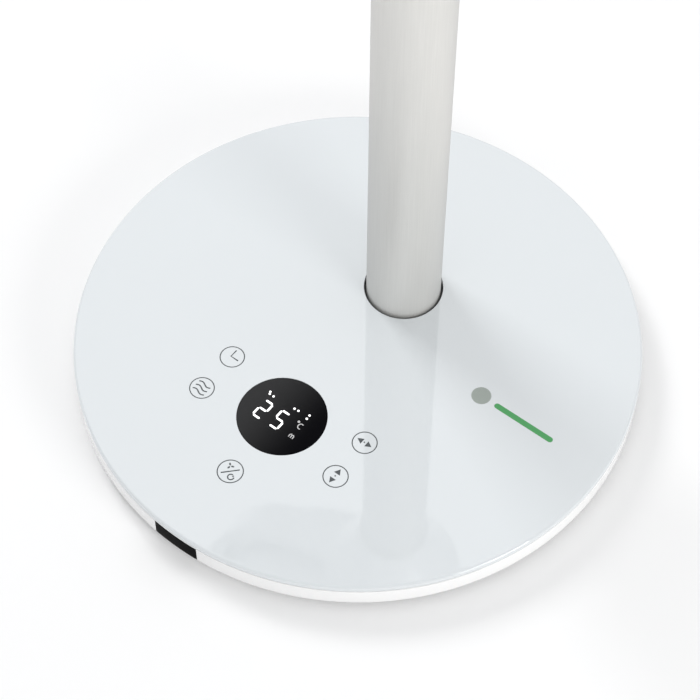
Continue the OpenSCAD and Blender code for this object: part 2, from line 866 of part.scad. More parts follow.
module heater_frame() {
    brace_x = 34;
    brace_half = 2;
    front_w = core_w + core_d;
    h = row_half(brace_x + brace_half);
    color([0.1, 0.1, 0.11]) on_head() {
        ring(core_w, front_w, frame_r, core_r);
        for (x = [-brace_x, brace_x])
            block(x - brace_half, x + brace_half, -h, h, front_w - 2, front_w);
    }
}

module ceramic_bars() {
    color([0.85, 0.82, 0.76]) on_head() for (i = [0:bar_rows - 1]) {
        y = (i - (bar_rows - 1) / 2) * bar_pitch;
        h = row_half(abs(y) + bar_t / 2) - 0.5;
        block(-h, h, y - bar_t / 2, y + bar_t / 2, core_w + 2, core_w + core_d - 2);
    }
}

// One corrugated strip between two ceramic bars, folded up and down along x
module fin_row(y, half, gap) {
    folds = 2 * floor(half / fin_pitch);
    x0 = -folds * fin_pitch / 2;
    line = [for (i = [0:folds]) [x0 + i * fin_pitch, (i % 2 == 0 ? -1 : 1) * (gap - fin_t) / 2]];
    shift = [0, fin_t / 2];
    translate([0, y, core_w + 3]) linear_extrude(height = core_d - 6)
        polygon(concat(
            [for (p = line) p + shift],
            [for (i = [folds:-1:0]) line[i] - shift]));
}

module heater_fins() {
    gap = bar_pitch - bar_t;
    color([0.75, 0.76, 0.78]) on_head() for (i = [0:bar_rows]) {
        y = (i - bar_rows / 2) * bar_pitch;
        fin_row(y, row_half(abs(y) + gap / 2) - 1, gap);
    }
}

module air_duct() {
    color(grey) on_head() ring(mount_w, core_w, duct_r + duct_wall, duct_r);
}

module motor_mount() {
    plate_r = motor_body_r + 4;
    arm_half = 5;
    color(grey) on_head() translate([0, 0, mount_w]) difference() {
        union() {
            cylinder(h = mount_t, r = plate_r);
            around(4, 45) block(plate_r - 2, duct_r - 0.4, -arm_half, arm_half, 0, mount_t);
            ring(0, mount_t, duct_r - 0.05, duct_r - 4);
        }
        translate([0, 0, -cut]) cylinder(h = mount_t + 2 * cut, r = fan_shaft_r + 2);
    }
}

module fan_motor() {
    color([0.5, 0.51, 0.53]) on_head() difference() {
        union() {
            translate([0, 0, mount_w - motor_len]) cylinder(h = motor_len, r = motor_body_r);
            translate([0, 0, mount_w - motor_len - motor_boss_h])
                cylinder(h = motor_boss_h, r = motor_boss_r);
        }
        translate([0, 0, mount_w - motor_len + 2]) cylinder(h = motor_len, r = fan_shaft_r + running);
    }
}

module fan_shaft() {
    color("silver") on_head() translate([0, 0, mount_w - motor_len + 3])
        cylinder(h = fan_shaft_len, r = fan_shaft_r);
}

module impeller() {
    trim_w = 14;
    t = blade_t / 2;
    chord = blade_half_chord;
    color([0.3, 0.31, 0.33]) on_head() difference() {
        union() {
            translate([0, 0, fan_hub_w]) cylinder(h = fan_hub_h, r = fan_hub_r);
            intersection() {
                around(fan_blades) rotate([fan_pitch, 0, 0])
                    block(fan_hub_r - 4, fan_r + 4, -chord, chord, -t, t);
                translate([0, 0, -trim_w]) cylinder(h = 2 * trim_w, r = fan_r);
            }
        }
        translate([0, 0, fan_hub_w - cut]) {
            cylinder(h = 2 * fan_hub_h, r = fan_shaft_r);
            ring(0, 16, fan_hub_r - 2.5, fan_shaft_r + 4);
        }
    }
}

module impeller_nut() {
    color([0.3, 0.31, 0.33]) on_head() difference() {
        translate([0, 0, fan_hub_w + fan_hub_h]) rotate_extrude() polygon(concat([[0, 0], [nut_r, 0]],
            ellipse_arc([0, nut_h], [nut_r, 2 * nut_h], 0, 90, 6)));
        translate([0, 0, fan_hub_w + fan_hub_h - cut]) cylinder(h = 2 + cut, r = fan_shaft_r);
    }
}

module thermal_cutouts() {
    stub = 3;
    color([0.2, 0.2, 0.22]) on_head() for (x = [-cutout_x, cutout_x])
        translate([x, cutout_y, core_w - cutout_h]) {
            cylinder(h = cutout_h, r = cutout_r);
            translate([0, 0, -stub]) cylinder(h = stub, r = stub);
        }
}

module terminal_block() {
    color([0.9, 0.88, 0.8]) on_head()
        translate([-terminal_size[0] / 2, terminal_y, core_w - terminal_size[2]]) cube(terminal_size);
}

module head_wiring() {
    color([0.1, 0.1, 0.1]) on_head() rotate([0, 0, 185]) rotate_extrude(angle = 75)
        translate([head_wire_circle_r, 8]) circle(r = head_wire_r);
}

base_tray();
bottom_plate();
base_screws();
rubber_feet();
top_glass();
glass_gasket();
display_window();
display_board();
led_module();
touch_springs();
control_board();
power_board();
ballast_plate();
pole_socket();
socket_screws();
ir_window();
ir_receiver();
tip_switch();
tip_spring();
tip_plunger();
cord_gland();
pole_tube();
pole_collar();
pole_wiring();
neck_shell();
neck_cover();
neck_screws();
swing_motor();
swing_bush();
swing_pinion();
swing_gear();
spindle();
yoke_fork();
yoke_strip();
yoke_wiring();
yoke_caps();
pivot_pins();
tilt_gear();
tilt_pinion();
tilt_motor();
pivot_bushes();
front_shell();
rear_shell();
bezel_ring();
front_grille();
heater_frame();
ceramic_bars();
heater_fins();
air_duct();
motor_mount();
fan_motor();
fan_shaft();
impeller();
impeller_nut();
thermal_cutouts();
terminal_block();
head_wiring();
dust_filter();
head_screws();
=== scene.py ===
import json
import math

import bpy
from mathutils import Matrix, Vector


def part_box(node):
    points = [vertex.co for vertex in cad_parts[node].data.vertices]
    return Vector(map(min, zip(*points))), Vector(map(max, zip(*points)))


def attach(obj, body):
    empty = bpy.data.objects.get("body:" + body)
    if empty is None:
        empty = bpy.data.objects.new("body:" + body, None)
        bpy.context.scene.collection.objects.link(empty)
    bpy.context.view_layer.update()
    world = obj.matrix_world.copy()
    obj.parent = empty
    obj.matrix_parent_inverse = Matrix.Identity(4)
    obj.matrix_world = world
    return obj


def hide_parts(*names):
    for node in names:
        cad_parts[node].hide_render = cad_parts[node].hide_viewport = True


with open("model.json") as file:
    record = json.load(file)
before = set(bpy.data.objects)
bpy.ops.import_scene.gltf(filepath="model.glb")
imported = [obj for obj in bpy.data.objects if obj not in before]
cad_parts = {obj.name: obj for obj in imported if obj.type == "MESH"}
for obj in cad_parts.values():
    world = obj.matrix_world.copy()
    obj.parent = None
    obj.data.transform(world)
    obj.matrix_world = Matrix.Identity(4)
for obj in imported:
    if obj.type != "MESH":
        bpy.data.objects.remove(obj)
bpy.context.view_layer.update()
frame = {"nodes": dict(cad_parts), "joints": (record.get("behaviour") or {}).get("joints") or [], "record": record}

bl_info = {
    "name": "Pedestal fan heater",
    "version": (1, 0, 0),
    "blender": (4, 5, 0),
    "location": "3D View > Sidebar > Heater",
    "description": "Dresses the engineering frame of a pedestal fan heater in finished pieces",
    "category": "Object",
}

MM = 0.001
JOINTS = {joint["name"]: joint for joint in frame["joints"]}
POLE = Vector(JOINTS["swing"]["pos_m"])          # a point on the column's axis
HEAD = Vector(JOINTS["tilt"]["pos_m"])           # where the tilt and fan axes cross
X_AXIS, Y_AXIS, Z_AXIS = Vector((1, 0, 0)), Vector((0, 1, 0)), Vector((0, 0, 1))
ORIGIN = Vector((0, 0, 0))


def low(node):
    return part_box(node)[0]


def high(node):
    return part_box(node)[1]


def radius_of(node):
    """Half the width of a node that is round about an upright axis."""
    return (high(node).x - low(node).x) / 2


# ------------------------------------------------------------------ settings

def length(name, description, default):
    return bpy.props.FloatProperty(name=name, description=description, default=default,
                                   unit="LENGTH", subtype="DISTANCE")


def colour(name, description, default):
    return bpy.props.FloatVectorProperty(name=name, description=description, default=default,
                                         subtype="COLOR")


class HeaterSizes(bpy.types.PropertyGroup):
    base_r: length("Base radius", "Outer radius of the glass top", high("top_glass").y)
    rim_bevel: length("Rim bevel", "Radius of the polished edge of the glass", 1.5 * MM)
    display_r: length("Display radius", "Radius of the round display", radius_of("display_window"))
    key_ring_r: length("Key ring radius", "Radius of the printed ring round a touch key", 6.4 * MM)
    ink_w: length("Ink line width", "Width of the printed lines", 0.5 * MM)
    column_r: length("Column radius", "Outer radius of the column tube", radius_of("pole_tube"))
    head_r: length("Head radius", "Outer radius of the head's shells", high("rear_shell").x)
    shell_t: length("Shell thickness", "Wall thickness of the moulded shells", 2.5 * MM)
    vane_count: bpy.props.IntProperty(
        name="Grille vanes", description="Number of full-length vanes in the front grille", default=36)
    blade_count: bpy.props.IntProperty(
        name="Fan blades", description="Number of blades on the fan", default=7)


class HeaterColours(bpy.types.PropertyGroup):
    shell: colour("Shell", "Colour of the gloss mouldings", (0.88, 0.88, 0.88))
    panel: colour("Panel", "Paint behind the glass top", (0.69, 0.725, 0.745))
    column: colour("Column", "Brushed column metal", (0.79, 0.78, 0.752))
    trim: colour("Trim", "Rings, caps and the collar", (0.60, 0.575, 0.535))
    ink: colour("Ink", "Printed key signs", (0.075, 0.085, 0.09))
    mark: colour("Mark", "Plain printed accent on the glass", (0.06, 0.34, 0.10))


# ------------------------------------------------------------------ modelling helpers

def on_base(x, y, z):
    return Vector((x, y, z))


def on_head(x, y, forward):
    """A place in the head's own axes: to the right, up and forwards out of the grille."""
    return Vector((HEAD.x + x, HEAD.y - forward, HEAD.z + y))


def mm(*pairs):
    """Pairs given in millimetres."""
    return [(x * MM, y * MM) for x, y in pairs]


def arc(centre, half, start, stop, count):
    """Points of a round or elliptical arc, from one angle to another in degrees."""
    half_x, half_y = half if hasattr(half, "__len__") else (half, half)
    angles = [math.radians(start + (stop - start) * i / count) for i in range(count + 1)]
    return [(centre[0] + half_x * math.cos(a), centre[1] + half_y * math.sin(a)) for a in angles]


def corner(x, y, edge, start, count=4):
    """A rounded corner of an outline: a quarter turn from a start angle of -90, 0, 90 or 180."""
    side_x, side_y = {-90: (-1, 1), 0: (-1, -1), 90: (1, -1), 180: (1, 1)}[start]
    return arc((x + side_x * edge, y + side_y * edge), edge, start, start + 90, count)


def activate(obj):
    bpy.ops.object.select_all(action="DESELECT")
    obj.select_set(True)
    bpy.context.view_layer.objects.active = obj


def draw_line(name, points):
    """Draws an open line by extruding one vertex from point to point, and stays in edit mode."""
    bpy.ops.object.select_all(action="DESELECT")
    bpy.ops.mesh.primitive_plane_add(size=MM, location=points[0])
    obj = bpy.context.object
    obj.name = name
    bpy.ops.object.transform_apply(location=True, rotation=True, scale=True)
    bpy.ops.object.mode_set(mode="EDIT")
    bpy.ops.mesh.select_mode(type="VERT")
    bpy.ops.mesh.select_all(action="SELECT")
    bpy.ops.mesh.merge(type="CENTER")
    for here, there in zip(points, points[1:]):
        bpy.ops.mesh.extrude_vertices_move(TRANSFORM_OT_translate={"value": there - here})
    bpy.ops.mesh.select_all(action="SELECT")
    return obj


def end_edit():
    """Merges doubles, turns the faces outwards and leaves edit mode."""
    bpy.ops.mesh.select_all(action="SELECT")
    bpy.ops.mesh.remove_doubles(threshold=1e-6)
    bpy.ops.mesh.normals_make_consistent(inside=False)
    bpy.ops.object.mode_set(mode="OBJECT")


def on_axis(point, centre, axis):
    return (point - Vector(centre)).cross(axis).length < 1e-7


def lathe(name, outline, centre, axis, steps=192, angle=360):
    """Spins an outline round an axis. It is closed first, unless both its ends lie on the axis."""
    closed = not (on_axis(outline[0], centre, axis) and on_axis(outline[-1], centre, axis))
    obj = draw_line(name, outline + outline[:1] if closed else outline)
    bpy.ops.mesh.remove_doubles(threshold=1e-7)
    bpy.ops.mesh.select_all(action="SELECT")
    bpy.ops.mesh.spin(steps=steps, angle=math.radians(angle), center=centre, axis=axis)
    if angle < 360:
        bpy.ops.mesh.select_all(action="SELECT")
        bpy.ops.mesh.remove_doubles(threshold=1e-7)
        bpy.ops.mesh.select_all(action="DESELECT")
        bpy.ops.mesh.select_non_manifold()
        bpy.ops.mesh.fill_holes(sides=0)
    end_edit()
    return obj


def lathe_base(name, profile):
    return lathe(name, [Vector((r, 0, z)) for r, z in profile], ORIGIN, Z_AXIS, 288)


def lathe_pole(name, profile):
    return lathe(name, [Vector((POLE.x + r, POLE.y, z)) for r, z in profile], POLE, Z_AXIS)


def lathe_head(name, profile, steps=180):
    return lathe(name, [on_head(r, 0, w) for r, w in profile], HEAD, Y_AXIS, steps)


def plate(name, outline, place, z0, z1):
    """A flat piece: an outline is drawn, filled and extruded from z0 to z1."""
    obj = draw_line(name, [place(x, y, z0) for x, y in outline])
    bpy.ops.mesh.edge_face_add()
    bpy.ops.mesh.extrude_region_move(
        TRANSFORM_OT_translate={"value": place(0, 0, z1) - place(0, 0, z0)})
    end_edit()
    return obj


def disc(name, centre, radius, place, z0, z1, sides=32):
    outline = arc(centre, radius, 0, 360 * (sides - 1) / sides, sides - 1)
    return plate(name, outline, place, z0, z1)


def box_piece(name, start, stop):
    """A block between two opposite corners."""
    bpy.ops.object.select_all(action="DESELECT")
    start, stop = Vector(start), Vector(stop)
    bpy.ops.mesh.primitive_cube_add(size=1, location=(start + stop) / 2)
    obj = bpy.context.object
    obj.name = name
    obj.scale = [abs(v) for v in stop - start]
    bpy.ops.object.transform_apply(location=True, rotation=True, scale=True)
    return obj


def rod_piece(start, stop, radius, turn=(0, 0, 0), sides=96):
    """A round bar between two points, turned from upright by degrees about X, Y and Z."""
    bpy.ops.object.select_all(action="DESELECT")
    bpy.ops.mesh.primitive_cylinder_add(
        vertices=sides, radius=radius, depth=(stop - start).length,
        location=(start + stop) / 2, rotation=[math.radians(angle) for angle in turn])
    bpy.ops.object.transform_apply(location=True, rotation=True, scale=True)
    return bpy.context.object


def modify(obj, kind, **settings):
    """Adds a modifier, sets it and applies it."""
    activate(obj)
    bpy.ops.object.modifier_add(type=kind)
    modifier = obj.modifiers[-1]
    for key, value in settings.items():
        setattr(modifier, key, value)
    bpy.ops.object.modifier_apply(modifier=modifier.name)


def combine(obj, other, operation="DIFFERENCE"):
    """A boolean with another piece, which is used up."""
    modify(obj, "BOOLEAN", object=other, operation=operation, solver="EXACT")
    bpy.data.objects.remove(other)
    bpy.ops.object.mode_set(mode="EDIT")
    end_edit()


def bevel(obj, width, angle=50):
    modify(obj, "BEVEL", width=width, segments=2, limit_method="ANGLE",
           angle_limit=math.radians(angle), harden_normals=False)


def smooth(obj, angle=32, flat_faces=False):
    """Smooth shading up to an angle; flat_faces keeps large flat faces evenly lit."""
    activate(obj)
    bpy.ops.object.shade_smooth_by_angle(angle=math.radians(angle))
    if flat_faces:
        modify(obj, "WEIGHTED_NORMAL", keep_sharp=True)


def join(name, pieces):
    """Joins pieces into the first of them."""
    bpy.ops.object.select_all(action="DESELECT")
    for piece in pieces:
        piece.select_set(True)
    bpy.context.view_layer.objects.active = pieces[0]
    bpy.ops.object.join()
    pieces[0].name = name
    return pieces[0]


def copy_of(obj, matrix):
    """A copy of a piece with its own mesh, moved by a matrix that goes into the mesh."""
    twin = obj.copy()
    twin.data = obj.data.copy()
    twin.data.transform(matrix)
    bpy.context.scene.collection.objects.link(twin)
    return twin


def turned(about, axis, degrees):
    """The matrix of a turn about a point."""
    there = Matrix.Translation(about)
    return there @ Matrix.Rotation(math.radians(degrees), 4, axis) @ there.inverted()


def ring_of(obj, count, about, axis, name):
    """Joins a piece and its copies, spread evenly round an axis."""
    twins = [copy_of(obj, turned(about, axis, 360 * i / count)) for i in range(1, count)]
    return join(name, [obj] + twins)


def ink(name, strokes, width, z):
    """Printed lines: round-ended strokes made a mesh and pressed flat on the glass."""
    data = bpy.data.curves.new(name, "CURVE")
    data.dimensions = "3D"
    data.bevel_depth = width / 2
    data.bevel_resolution = 2
    data.use_fill_caps = True
    for stroke in strokes:
        spline = data.splines.new("POLY")
        if stroke[0] == stroke[-1]:
            stroke = stroke[:-1]
            spline.use_cyclic_u = True
        spline.points.add(len(stroke) - 1)
        for point, (x, y) in zip(spline.points, stroke):
            point.co = (x, y, 0, 1)
    obj = bpy.data.objects.new(name, data)
    bpy.context.scene.collection.objects.link(obj)
    activate(obj)
    bpy.ops.object.convert(target="MESH")
    obj = bpy.context.object
    bpy.ops.object.mode_set(mode="EDIT")
    end_edit()
    flat = Matrix.Diagonal((1, 1, INK_T / width, 1))
    obj.data.transform(Matrix.Translation((0, 0, z)) @ flat)
    return obj


# ------------------------------------------------------------------ shader groups

class Tree:
    """A node tree with short ways to add and join nodes."""

    def __init__(self, tree):
        self.tree = tree

    def feed(self, socket, value):
        """Joins an output to a socket, or sets the socket to a plain value."""
        if hasattr(value, "is_output"):
            self.tree.links.new(value, socket)
        else:
            socket.default_value = value

    def add(self, kind, feeds=(), **settings):
        """Adds a node, sets it and feeds its inputs by name or number."""
        node = self.tree.nodes.new(kind)
        for key, value in settings.items():
            setattr(node, key, value)
        for key, value in dict(feeds).items():
            self.feed(node.inputs[key], value)
        return node

    def place(self):
        return self.add("ShaderNodeTexCoord").outputs["Object"]

    def stretched(self, place, amounts):
        return self.add("ShaderNodeVectorMath", {0: place, 1: amounts}, operation="MULTIPLY").outputs[0]

    def noise(self, vector, scale, detail=3.0, roughness=0.5):
        feeds = {"Vector": vector, "Scale": scale, "Detail": detail, "Roughness": roughness}
        return self.add("ShaderNodeTexNoise", feeds).outputs["Fac"]

    def math(self, operation, a, b=0.0):
        return self.add("ShaderNodeMath", {0: a, 1: b}, operation=operation).outputs[0]

    def centred(self, value, amount):
        """A texture value made to swing evenly about nought by an amount."""
        return self.math("MULTIPLY", self.math("SUBTRACT", value, 0.5), amount)

    def mix(self, factor, a, b, blend="MIX"):
        return self.add("ShaderNodeMix", {0: factor, 6: a, 7: b}, data_type="RGBA",
                        blend_type=blend).outputs[2]

    def grey(self, value):
        return self.add("ShaderNodeCombineColor", {0: value, 1: value, 2: value}).outputs[0]

    def shaded(self, colour, tone):
        return self.mix(1.0, colour, self.grey(tone), "MULTIPLY")

    def bump(self, height, strength, distance):
        feeds = {"Strength": strength, "Distance": distance, "Height": height}
        return self.add("ShaderNodeBump", feeds).outputs["Normal"]


def new_group(name, inputs):
    """A shader group with an object place inside; it gives a colour, a roughness and a normal."""
    tree = bpy.data.node_groups.new(name, "ShaderNodeTree")
    for label, kind, value in inputs:
        socket = tree.interface.new_socket(label, in_out="INPUT", socket_type="NodeSocket" + kind)
        socket.default_value = value
    for label, kind in (("Color", "Color"), ("Roughness", "Float"), ("Normal", "Vector")):
        tree.interface.new_socket(label, in_out="OUTPUT", socket_type="NodeSocket" + kind)
    t = Tree(tree)
    return t, t.add("NodeGroupInput").outputs, t.add("NodeGroupOutput").inputs, t.place()


def build_grain_group():
    """Moulded or painted skin: a fine grain, cloudy gloss and colour, and rubbed edges."""
    t, given, made, place = new_group("Grain and wear", [
        ("Color", "Color", (0.5, 0.5, 0.5, 1)), ("Roughness", "Float", 0.5), ("Scale", "Float", 900.0),
        ("Depth", "Float", 0.02 * MM), ("Tint", "Float", 0.05), ("Wear", "Float", 0.1)])
    fine = t.noise(place, given["Scale"], 4.0, 0.6)
    cloud = t.noise(place, 14.0)
    tone = t.math("ADD", 1.0, t.centred(cloud, given["Tint"]))
    speck = t.math("ADD", tone, t.centred(fine, given["Tint"]))
    pointed = t.add("ShaderNodeNewGeometry").outputs["Pointiness"]
    edge = t.add("ShaderNodeMapRange", {"Value": pointed, "From Min": 0.52, "From Max": 0.62})
    rubbed = t.math("MULTIPLY", edge.outputs[0], given["Wear"])
    t.feed(made["Color"], t.mix(rubbed, t.shaded(given["Color"], speck), (0.85, 0.85, 0.84, 1)))
    gloss = t.math("ADD", given["Roughness"], t.centred(cloud, 0.10))
    t.feed(made["Roughness"], t.math("ADD", gloss, t.centred(fine, 0.06)))
    t.feed(made["Normal"], t.bump(fine, 0.6, given["Depth"]))
    return t.tree


def build_brush_group():
    """Brushed metal: long fine streaks along one axis, with cloudy gloss."""
    t, given, made, place = new_group("Brushed streaks", [
        ("Color", "Color", (0.5, 0.5, 0.5, 1)), ("Roughness", "Float", 0.3),
        ("Stretch", "Vector", (1.0, 1.0, 0.02)), ("Scale", "Float", 1400.0), ("Depth", "Float", 0.01 * MM)])
    streak = t.noise(t.stretched(place, given["Stretch"]), given["Scale"], 4.0, 0.65)
    t.feed(made["Color"], t.shaded(given["Color"], t.math("ADD", 1.0, t.centred(streak, 0.16))))
    gloss = t.math("ADD", given["Roughness"], t.centred(streak, 0.14))
    t.feed(made["Roughness"], t.math("ADD", gloss, t.centred(t.noise(place, 9.0, 2.0), 0.05)))
    t.feed(made["Normal"], t.bump(streak, 0.5, given["Depth"]))
    return t.tree


def build_polish_group():
    """A polished skin: faint wipe marks in the gloss, and a trace of waviness."""
    t, given, made, place = new_group("Polished skin", [
        ("Color", "Color", (0.8, 0.8, 0.8, 1)), ("Roughness", "Float", 0.05),
        ("Smudge", "Float", 0.05), ("Wave", "Float", 0.002 * MM)])
    marks = t.noise(t.stretched(place, (1.0, 0.25, 1.0)), 32.0, 5.0, 0.6)
    swell = t.noise(place, 11.0, 1.0)
    t.feed(made["Color"], t.shaded(given["Color"], t.math("ADD", 1.0, t.centred(swell, 0.012))))
    t.feed(made["Roughness"], t.math("ADD", given["Roughness"], t.centred(marks, given["Smudge"])))
    t.feed(made["Normal"], t.bump(swell, 0.4, given["Wave"]))
    return t.tree


# ------------------------------------------------------------------ materials

def new_material(name, group, values, **shader):
    """A Principled material whose colour, roughness and normal come from a shared group."""
    material = bpy.data.materials.new(name)
    material.use_nodes = True
    t = Tree(material.node_tree)
    surface = material.node_tree.nodes["Principled BSDF"]
    values["Color"] = (*values["Color"][:3], 1)
    detail = t.add("ShaderNodeGroup", node_tree=group)
    for label, value in values.items():
        detail.inputs[label].default_value = value
    for label, target in (("Color", "Base Color"), ("Roughness", "Roughness"), ("Normal", "Normal")):
        t.feed(surface.inputs[target], detail.outputs[label])
    for label, value in shader.items():
        surface.inputs[label.replace("_", " ")].default_value = value
    return material


def recolour(material, change):
    """Puts a further step between a material's group and its base colour."""
    t = Tree(material.node_tree)
    base = material.node_tree.nodes["Principled BSDF"].inputs["Base Color"]
    t.feed(base, change(t, base.links[0].from_socket))


def woven(t, colour):
    """A fine mesh: threads crossing at right angles, with dark holes between them."""
    cell = 1.6 * MM
    split = t.add("ShaderNodeSeparateXYZ", {0: t.place()})
    waves = [t.math("ABSOLUTE", t.math("SINE", t.math("MULTIPLY", split.outputs[axis], 2 * math.pi / cell)))
             for axis in (0, 2)]
    return t.mix(t.math("MINIMUM", *waves), colour, (0.005, 0.005, 0.005, 1))


def painted_edge_shade(t, colour):
    """Painted shade: the colour darkens where the surface turns away from view, towards the column's outline."""
    facing = t.add("ShaderNodeLayerWeight", {"Blend": 0.14}).outputs["Facing"]
    return t.mix(facing, colour, (0.34, 0.34, 0.34, 1))


def copper_traced(t, colour):
    """Circuit board copper: lighter tracks on the solder mask."""
    pitch = 3.5 * MM
    cells = t.add("ShaderNodeTexVoronoi", {"Vector": t.place(), "Scale": 1 / pitch},
                  distance="MANHATTAN", feature="DISTANCE_TO_EDGE")
    line = t.math("LESS_THAN", cells.outputs["Distance"], 0.08)
    return t.mix(line, colour, (0.10, 0.42, 0.22, 1))


def painted_side_sheen(t, colour):
    """A painted sheen: colour added on the left of the glass that dies away to the right."""
    split = t.add("ShaderNodeSeparateXYZ", {0: t.place()})
    sheen_level = t.add("ShaderNodeMapRange", {"Value": split.outputs[0], "From Min": -22 * MM, "From Max": 20 * MM,
                                        "To Min": 0.036, "To Max": 0.0}, interpolation_type="SMOOTHSTEP")
    return t.mix(1.0, colour, t.grey(sheen_level.outputs[0]), "ADD")


def light_material(name, level, strength):
    """Lit segments: even emission, softened by a fine grain."""
    material = bpy.data.materials.new(name)
    material.use_nodes = True
    t = Tree(material.node_tree)
    surface = material.node_tree.nodes["Principled BSDF"].inputs
    bright, soft = (level, level, level, 1), (0.9 * level, 0.9 * level, 0.9 * level, 1)
    for label, value in (("Emission Color", t.mix(t.noise(t.place(), 2600.0, 2.0), bright, soft)),
                         ("Base Color", bright), ("Emission Strength", strength), ("Roughness", 0.3)):
        t.feed(surface[label], value)
    return material


def build_materials(colours):
    """One material for each of the record's slots, and the printed and lit ones."""
    grain, brush, polish = build_grain_group(), build_brush_group(), build_polish_group()

    def plastic(name, colour, roughness, scale=900.0, depth=0.02, tint=0.05, wear=0.1, **shader):
        return new_material(name, grain, {"Color": colour, "Roughness": roughness, "Scale": scale,
                                          "Depth": depth * MM, "Tint": tint, "Wear": wear}, **shader)

    def metal(name, colour, roughness, stretch=(1.0, 1.0, 0.02), scale=1400.0, **shader):
        return new_material(name, brush, {"Color": colour, "Roughness": roughness, "Stretch": stretch,
                                          "Scale": scale}, **{"Metallic": 1.0, **shader})

    def gloss(name, colour, roughness, smudge, **shader):
        return new_material(name, polish, {"Color": colour, "Roughness": roughness, "Smudge": smudge}, **shader)

    def ink_film(name, colour, roughness, tint=0.10):
        return plastic(name, colour, roughness, 3000.0, 0.004, tint, 0.0)

    made = {
        "white_shell": gloss("gloss_white", colours.shell, 0.22, 0.06, Coat_Weight=0.4, Coat_Roughness=0.08),
        "panel_glass": gloss("painted_glass", colours.panel, 0.035, 0.02, IOR=1.52, Specular_IOR_Level=1.0),
        "display_glass": gloss("black_glass", (0.003, 0.003, 0.004), 0.06, 0.02, IOR=1.07),
        "sensor_glass": gloss("sensor_glass", (0.002, 0.002, 0.002), 0.20, 0.05, IOR=1.05),
        "column_metal": metal("brushed_column", colours.column, 0.48, Metallic=0.6, Anisotropic=0.3),
        "champagne_trim": plastic("champagne_paint", colours.trim, 0.34, 2400.0, 0.006, 0.10, 0.15,
                                  Metallic=0.75, Coat_Weight=0.25, Coat_Roughness=0.2),
        "grille_plastic": plastic("satin_grille", (0.62, 0.63, 0.64), 0.42, 1300.0, 0.012, 0.04, 0.0),
        "strip_plastic": plastic("satin_strip", (0.60, 0.61, 0.62), 0.45, 1300.0, 0.012, 0.04, 0.0),
        "dark_plastic": plastic("dark_moulding", (0.018, 0.018, 0.020), 0.52, 700.0, 0.03, 0.25, 0.04),
        "fan_plastic": plastic("fan_moulding", (0.045, 0.048, 0.053), 0.38, 900.0, 0.015, 0.15, 0.04),
        "gear_plastic": plastic("acetal", (0.78, 0.77, 0.70), 0.40, 800.0, 0.01, 0.05, 0.0,
                                Subsurface_Weight=0.1, Subsurface_Radius=(MM, MM, MM)),
        "plate_steel": plastic("painted_sheet", (0.022, 0.022, 0.024), 0.45, 520.0, 0.05, 0.25, 0.12),
        "ballast_iron": plastic("cast_iron_skin", (0.10, 0.10, 0.105), 0.62, 320.0, 0.12, 0.4, 0.2,
                                Metallic=0.8),
        "bright_steel": metal("zinc_steel", (0.60, 0.60, 0.61), 0.28, (1.0, 1.0, 0.15), 900.0),
        "motor_metal": metal("pressed_can", (0.42, 0.43, 0.45), 0.33, (1.0, 0.05, 1.0), 1000.0),
        "bush_brass": metal("turned_brass", (0.62, 0.44, 0.17), 0.27, (0.1, 1.0, 1.0), 1200.0),
        "rubber": plastic("rubber_skin", (0.016, 0.016, 0.016), 0.72, 600.0, 0.05, 0.3, 0.06),
        "circuit_board": plastic("solder_mask", (0.012, 0.14, 0.055), 0.35, 500.0, 0.02, 0.15, 0.05),
        "heater_ceramic": plastic("fired_ceramic", (0.66, 0.60, 0.50), 0.62, 700.0, 0.04, 0.16, 0.1),
        "fin_aluminium": metal("rolled_fin", (0.74, 0.75, 0.77), 0.24, (1.0, 0.1, 1.0), 1500.0),
        "cutout_black": plastic("phenolic", (0.013, 0.012, 0.012), 0.30, 650.0, 0.02, 0.2, 0.08),
        "filter_mesh": plastic("nylon_mesh", (0.05, 0.05, 0.055), 0.70, 500.0, 0.03, 0.2, 0.0),
        "switch_red": plastic("red_nylon", (0.42, 0.035, 0.022), 0.40, 800.0, 0.02, 0.10, 0.05),
        "ink": ink_film("key_ink", colours.ink, 0.50, 0.12),
        "mark": ink_film("accent_ink", colours.mark, 0.42),
        "mark_grey": ink_film("accent_grey", (0.33, 0.37, 0.34), 0.40),
        "lit": light_material("lit_segment", 1.0, 1.0),
        "dim": light_material("dim_segment", 0.42, 0.5),
    }
    # The column gets painted shade towards its outline, and the display glass gets a painted sheen on its left.
    for slot, change in (("filter_mesh", woven), ("circuit_board", copper_traced),
                         ("column_metal", painted_edge_shade), ("display_glass", painted_side_sheen)):
        recolour(made[slot], change)
    return made


MATERIALS = {}


def finish_piece(obj, slot, body, *nodes, material=None):
    """Gives a finished piece its material, named by its slot unless another is given, and fixes it to the body it
    rides on.
    """
    obj.data.materials.clear()
    obj.data.materials.append(MATERIALS[material or slot])
    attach(obj, body)
    if nodes:
        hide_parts(*nodes)


# ------------------------------------------------------------------ base

GLASS_LOW, GLASS_TOP = low("top_glass").z, high("top_glass").z
TRAY_LOW, TRAY_TOP = low("base_tray").z, high("base_tray").z
DISPLAY = (low("display_window") + high("display_window")) / 2
INK_T = 0.03 * MM                                # thickness of a printed film
KEYS = {"timer": (-43.5, 12.5), "airflow": (-43.6, -12.1), "swing": (43.4, 13.5),
        "tilt": (43.9, -11.3), "power": (0.0, -41.8)}


def by_display(x, y):
    """A place on the glass, in millimetres from the middle of the display."""
    return DISPLAY.x + x * MM, DISPLAY.y + y * MM


def shifted(points, centre):
    return [(centre[0] + x * MM, centre[1] + y * MM) for x, y in points]


def ring_stroke(centre, radius, count=64):
    points = arc(centre, radius, 0, 360 * (count - 1) / count, count - 1)
    return points + points[:1]


def wave_stroke(y, count=20):
    return [(-4.0 + 7.6 * i / count, y + 0.7 * math.sin(2 * math.pi * i / count)) for i in range(count + 1)]


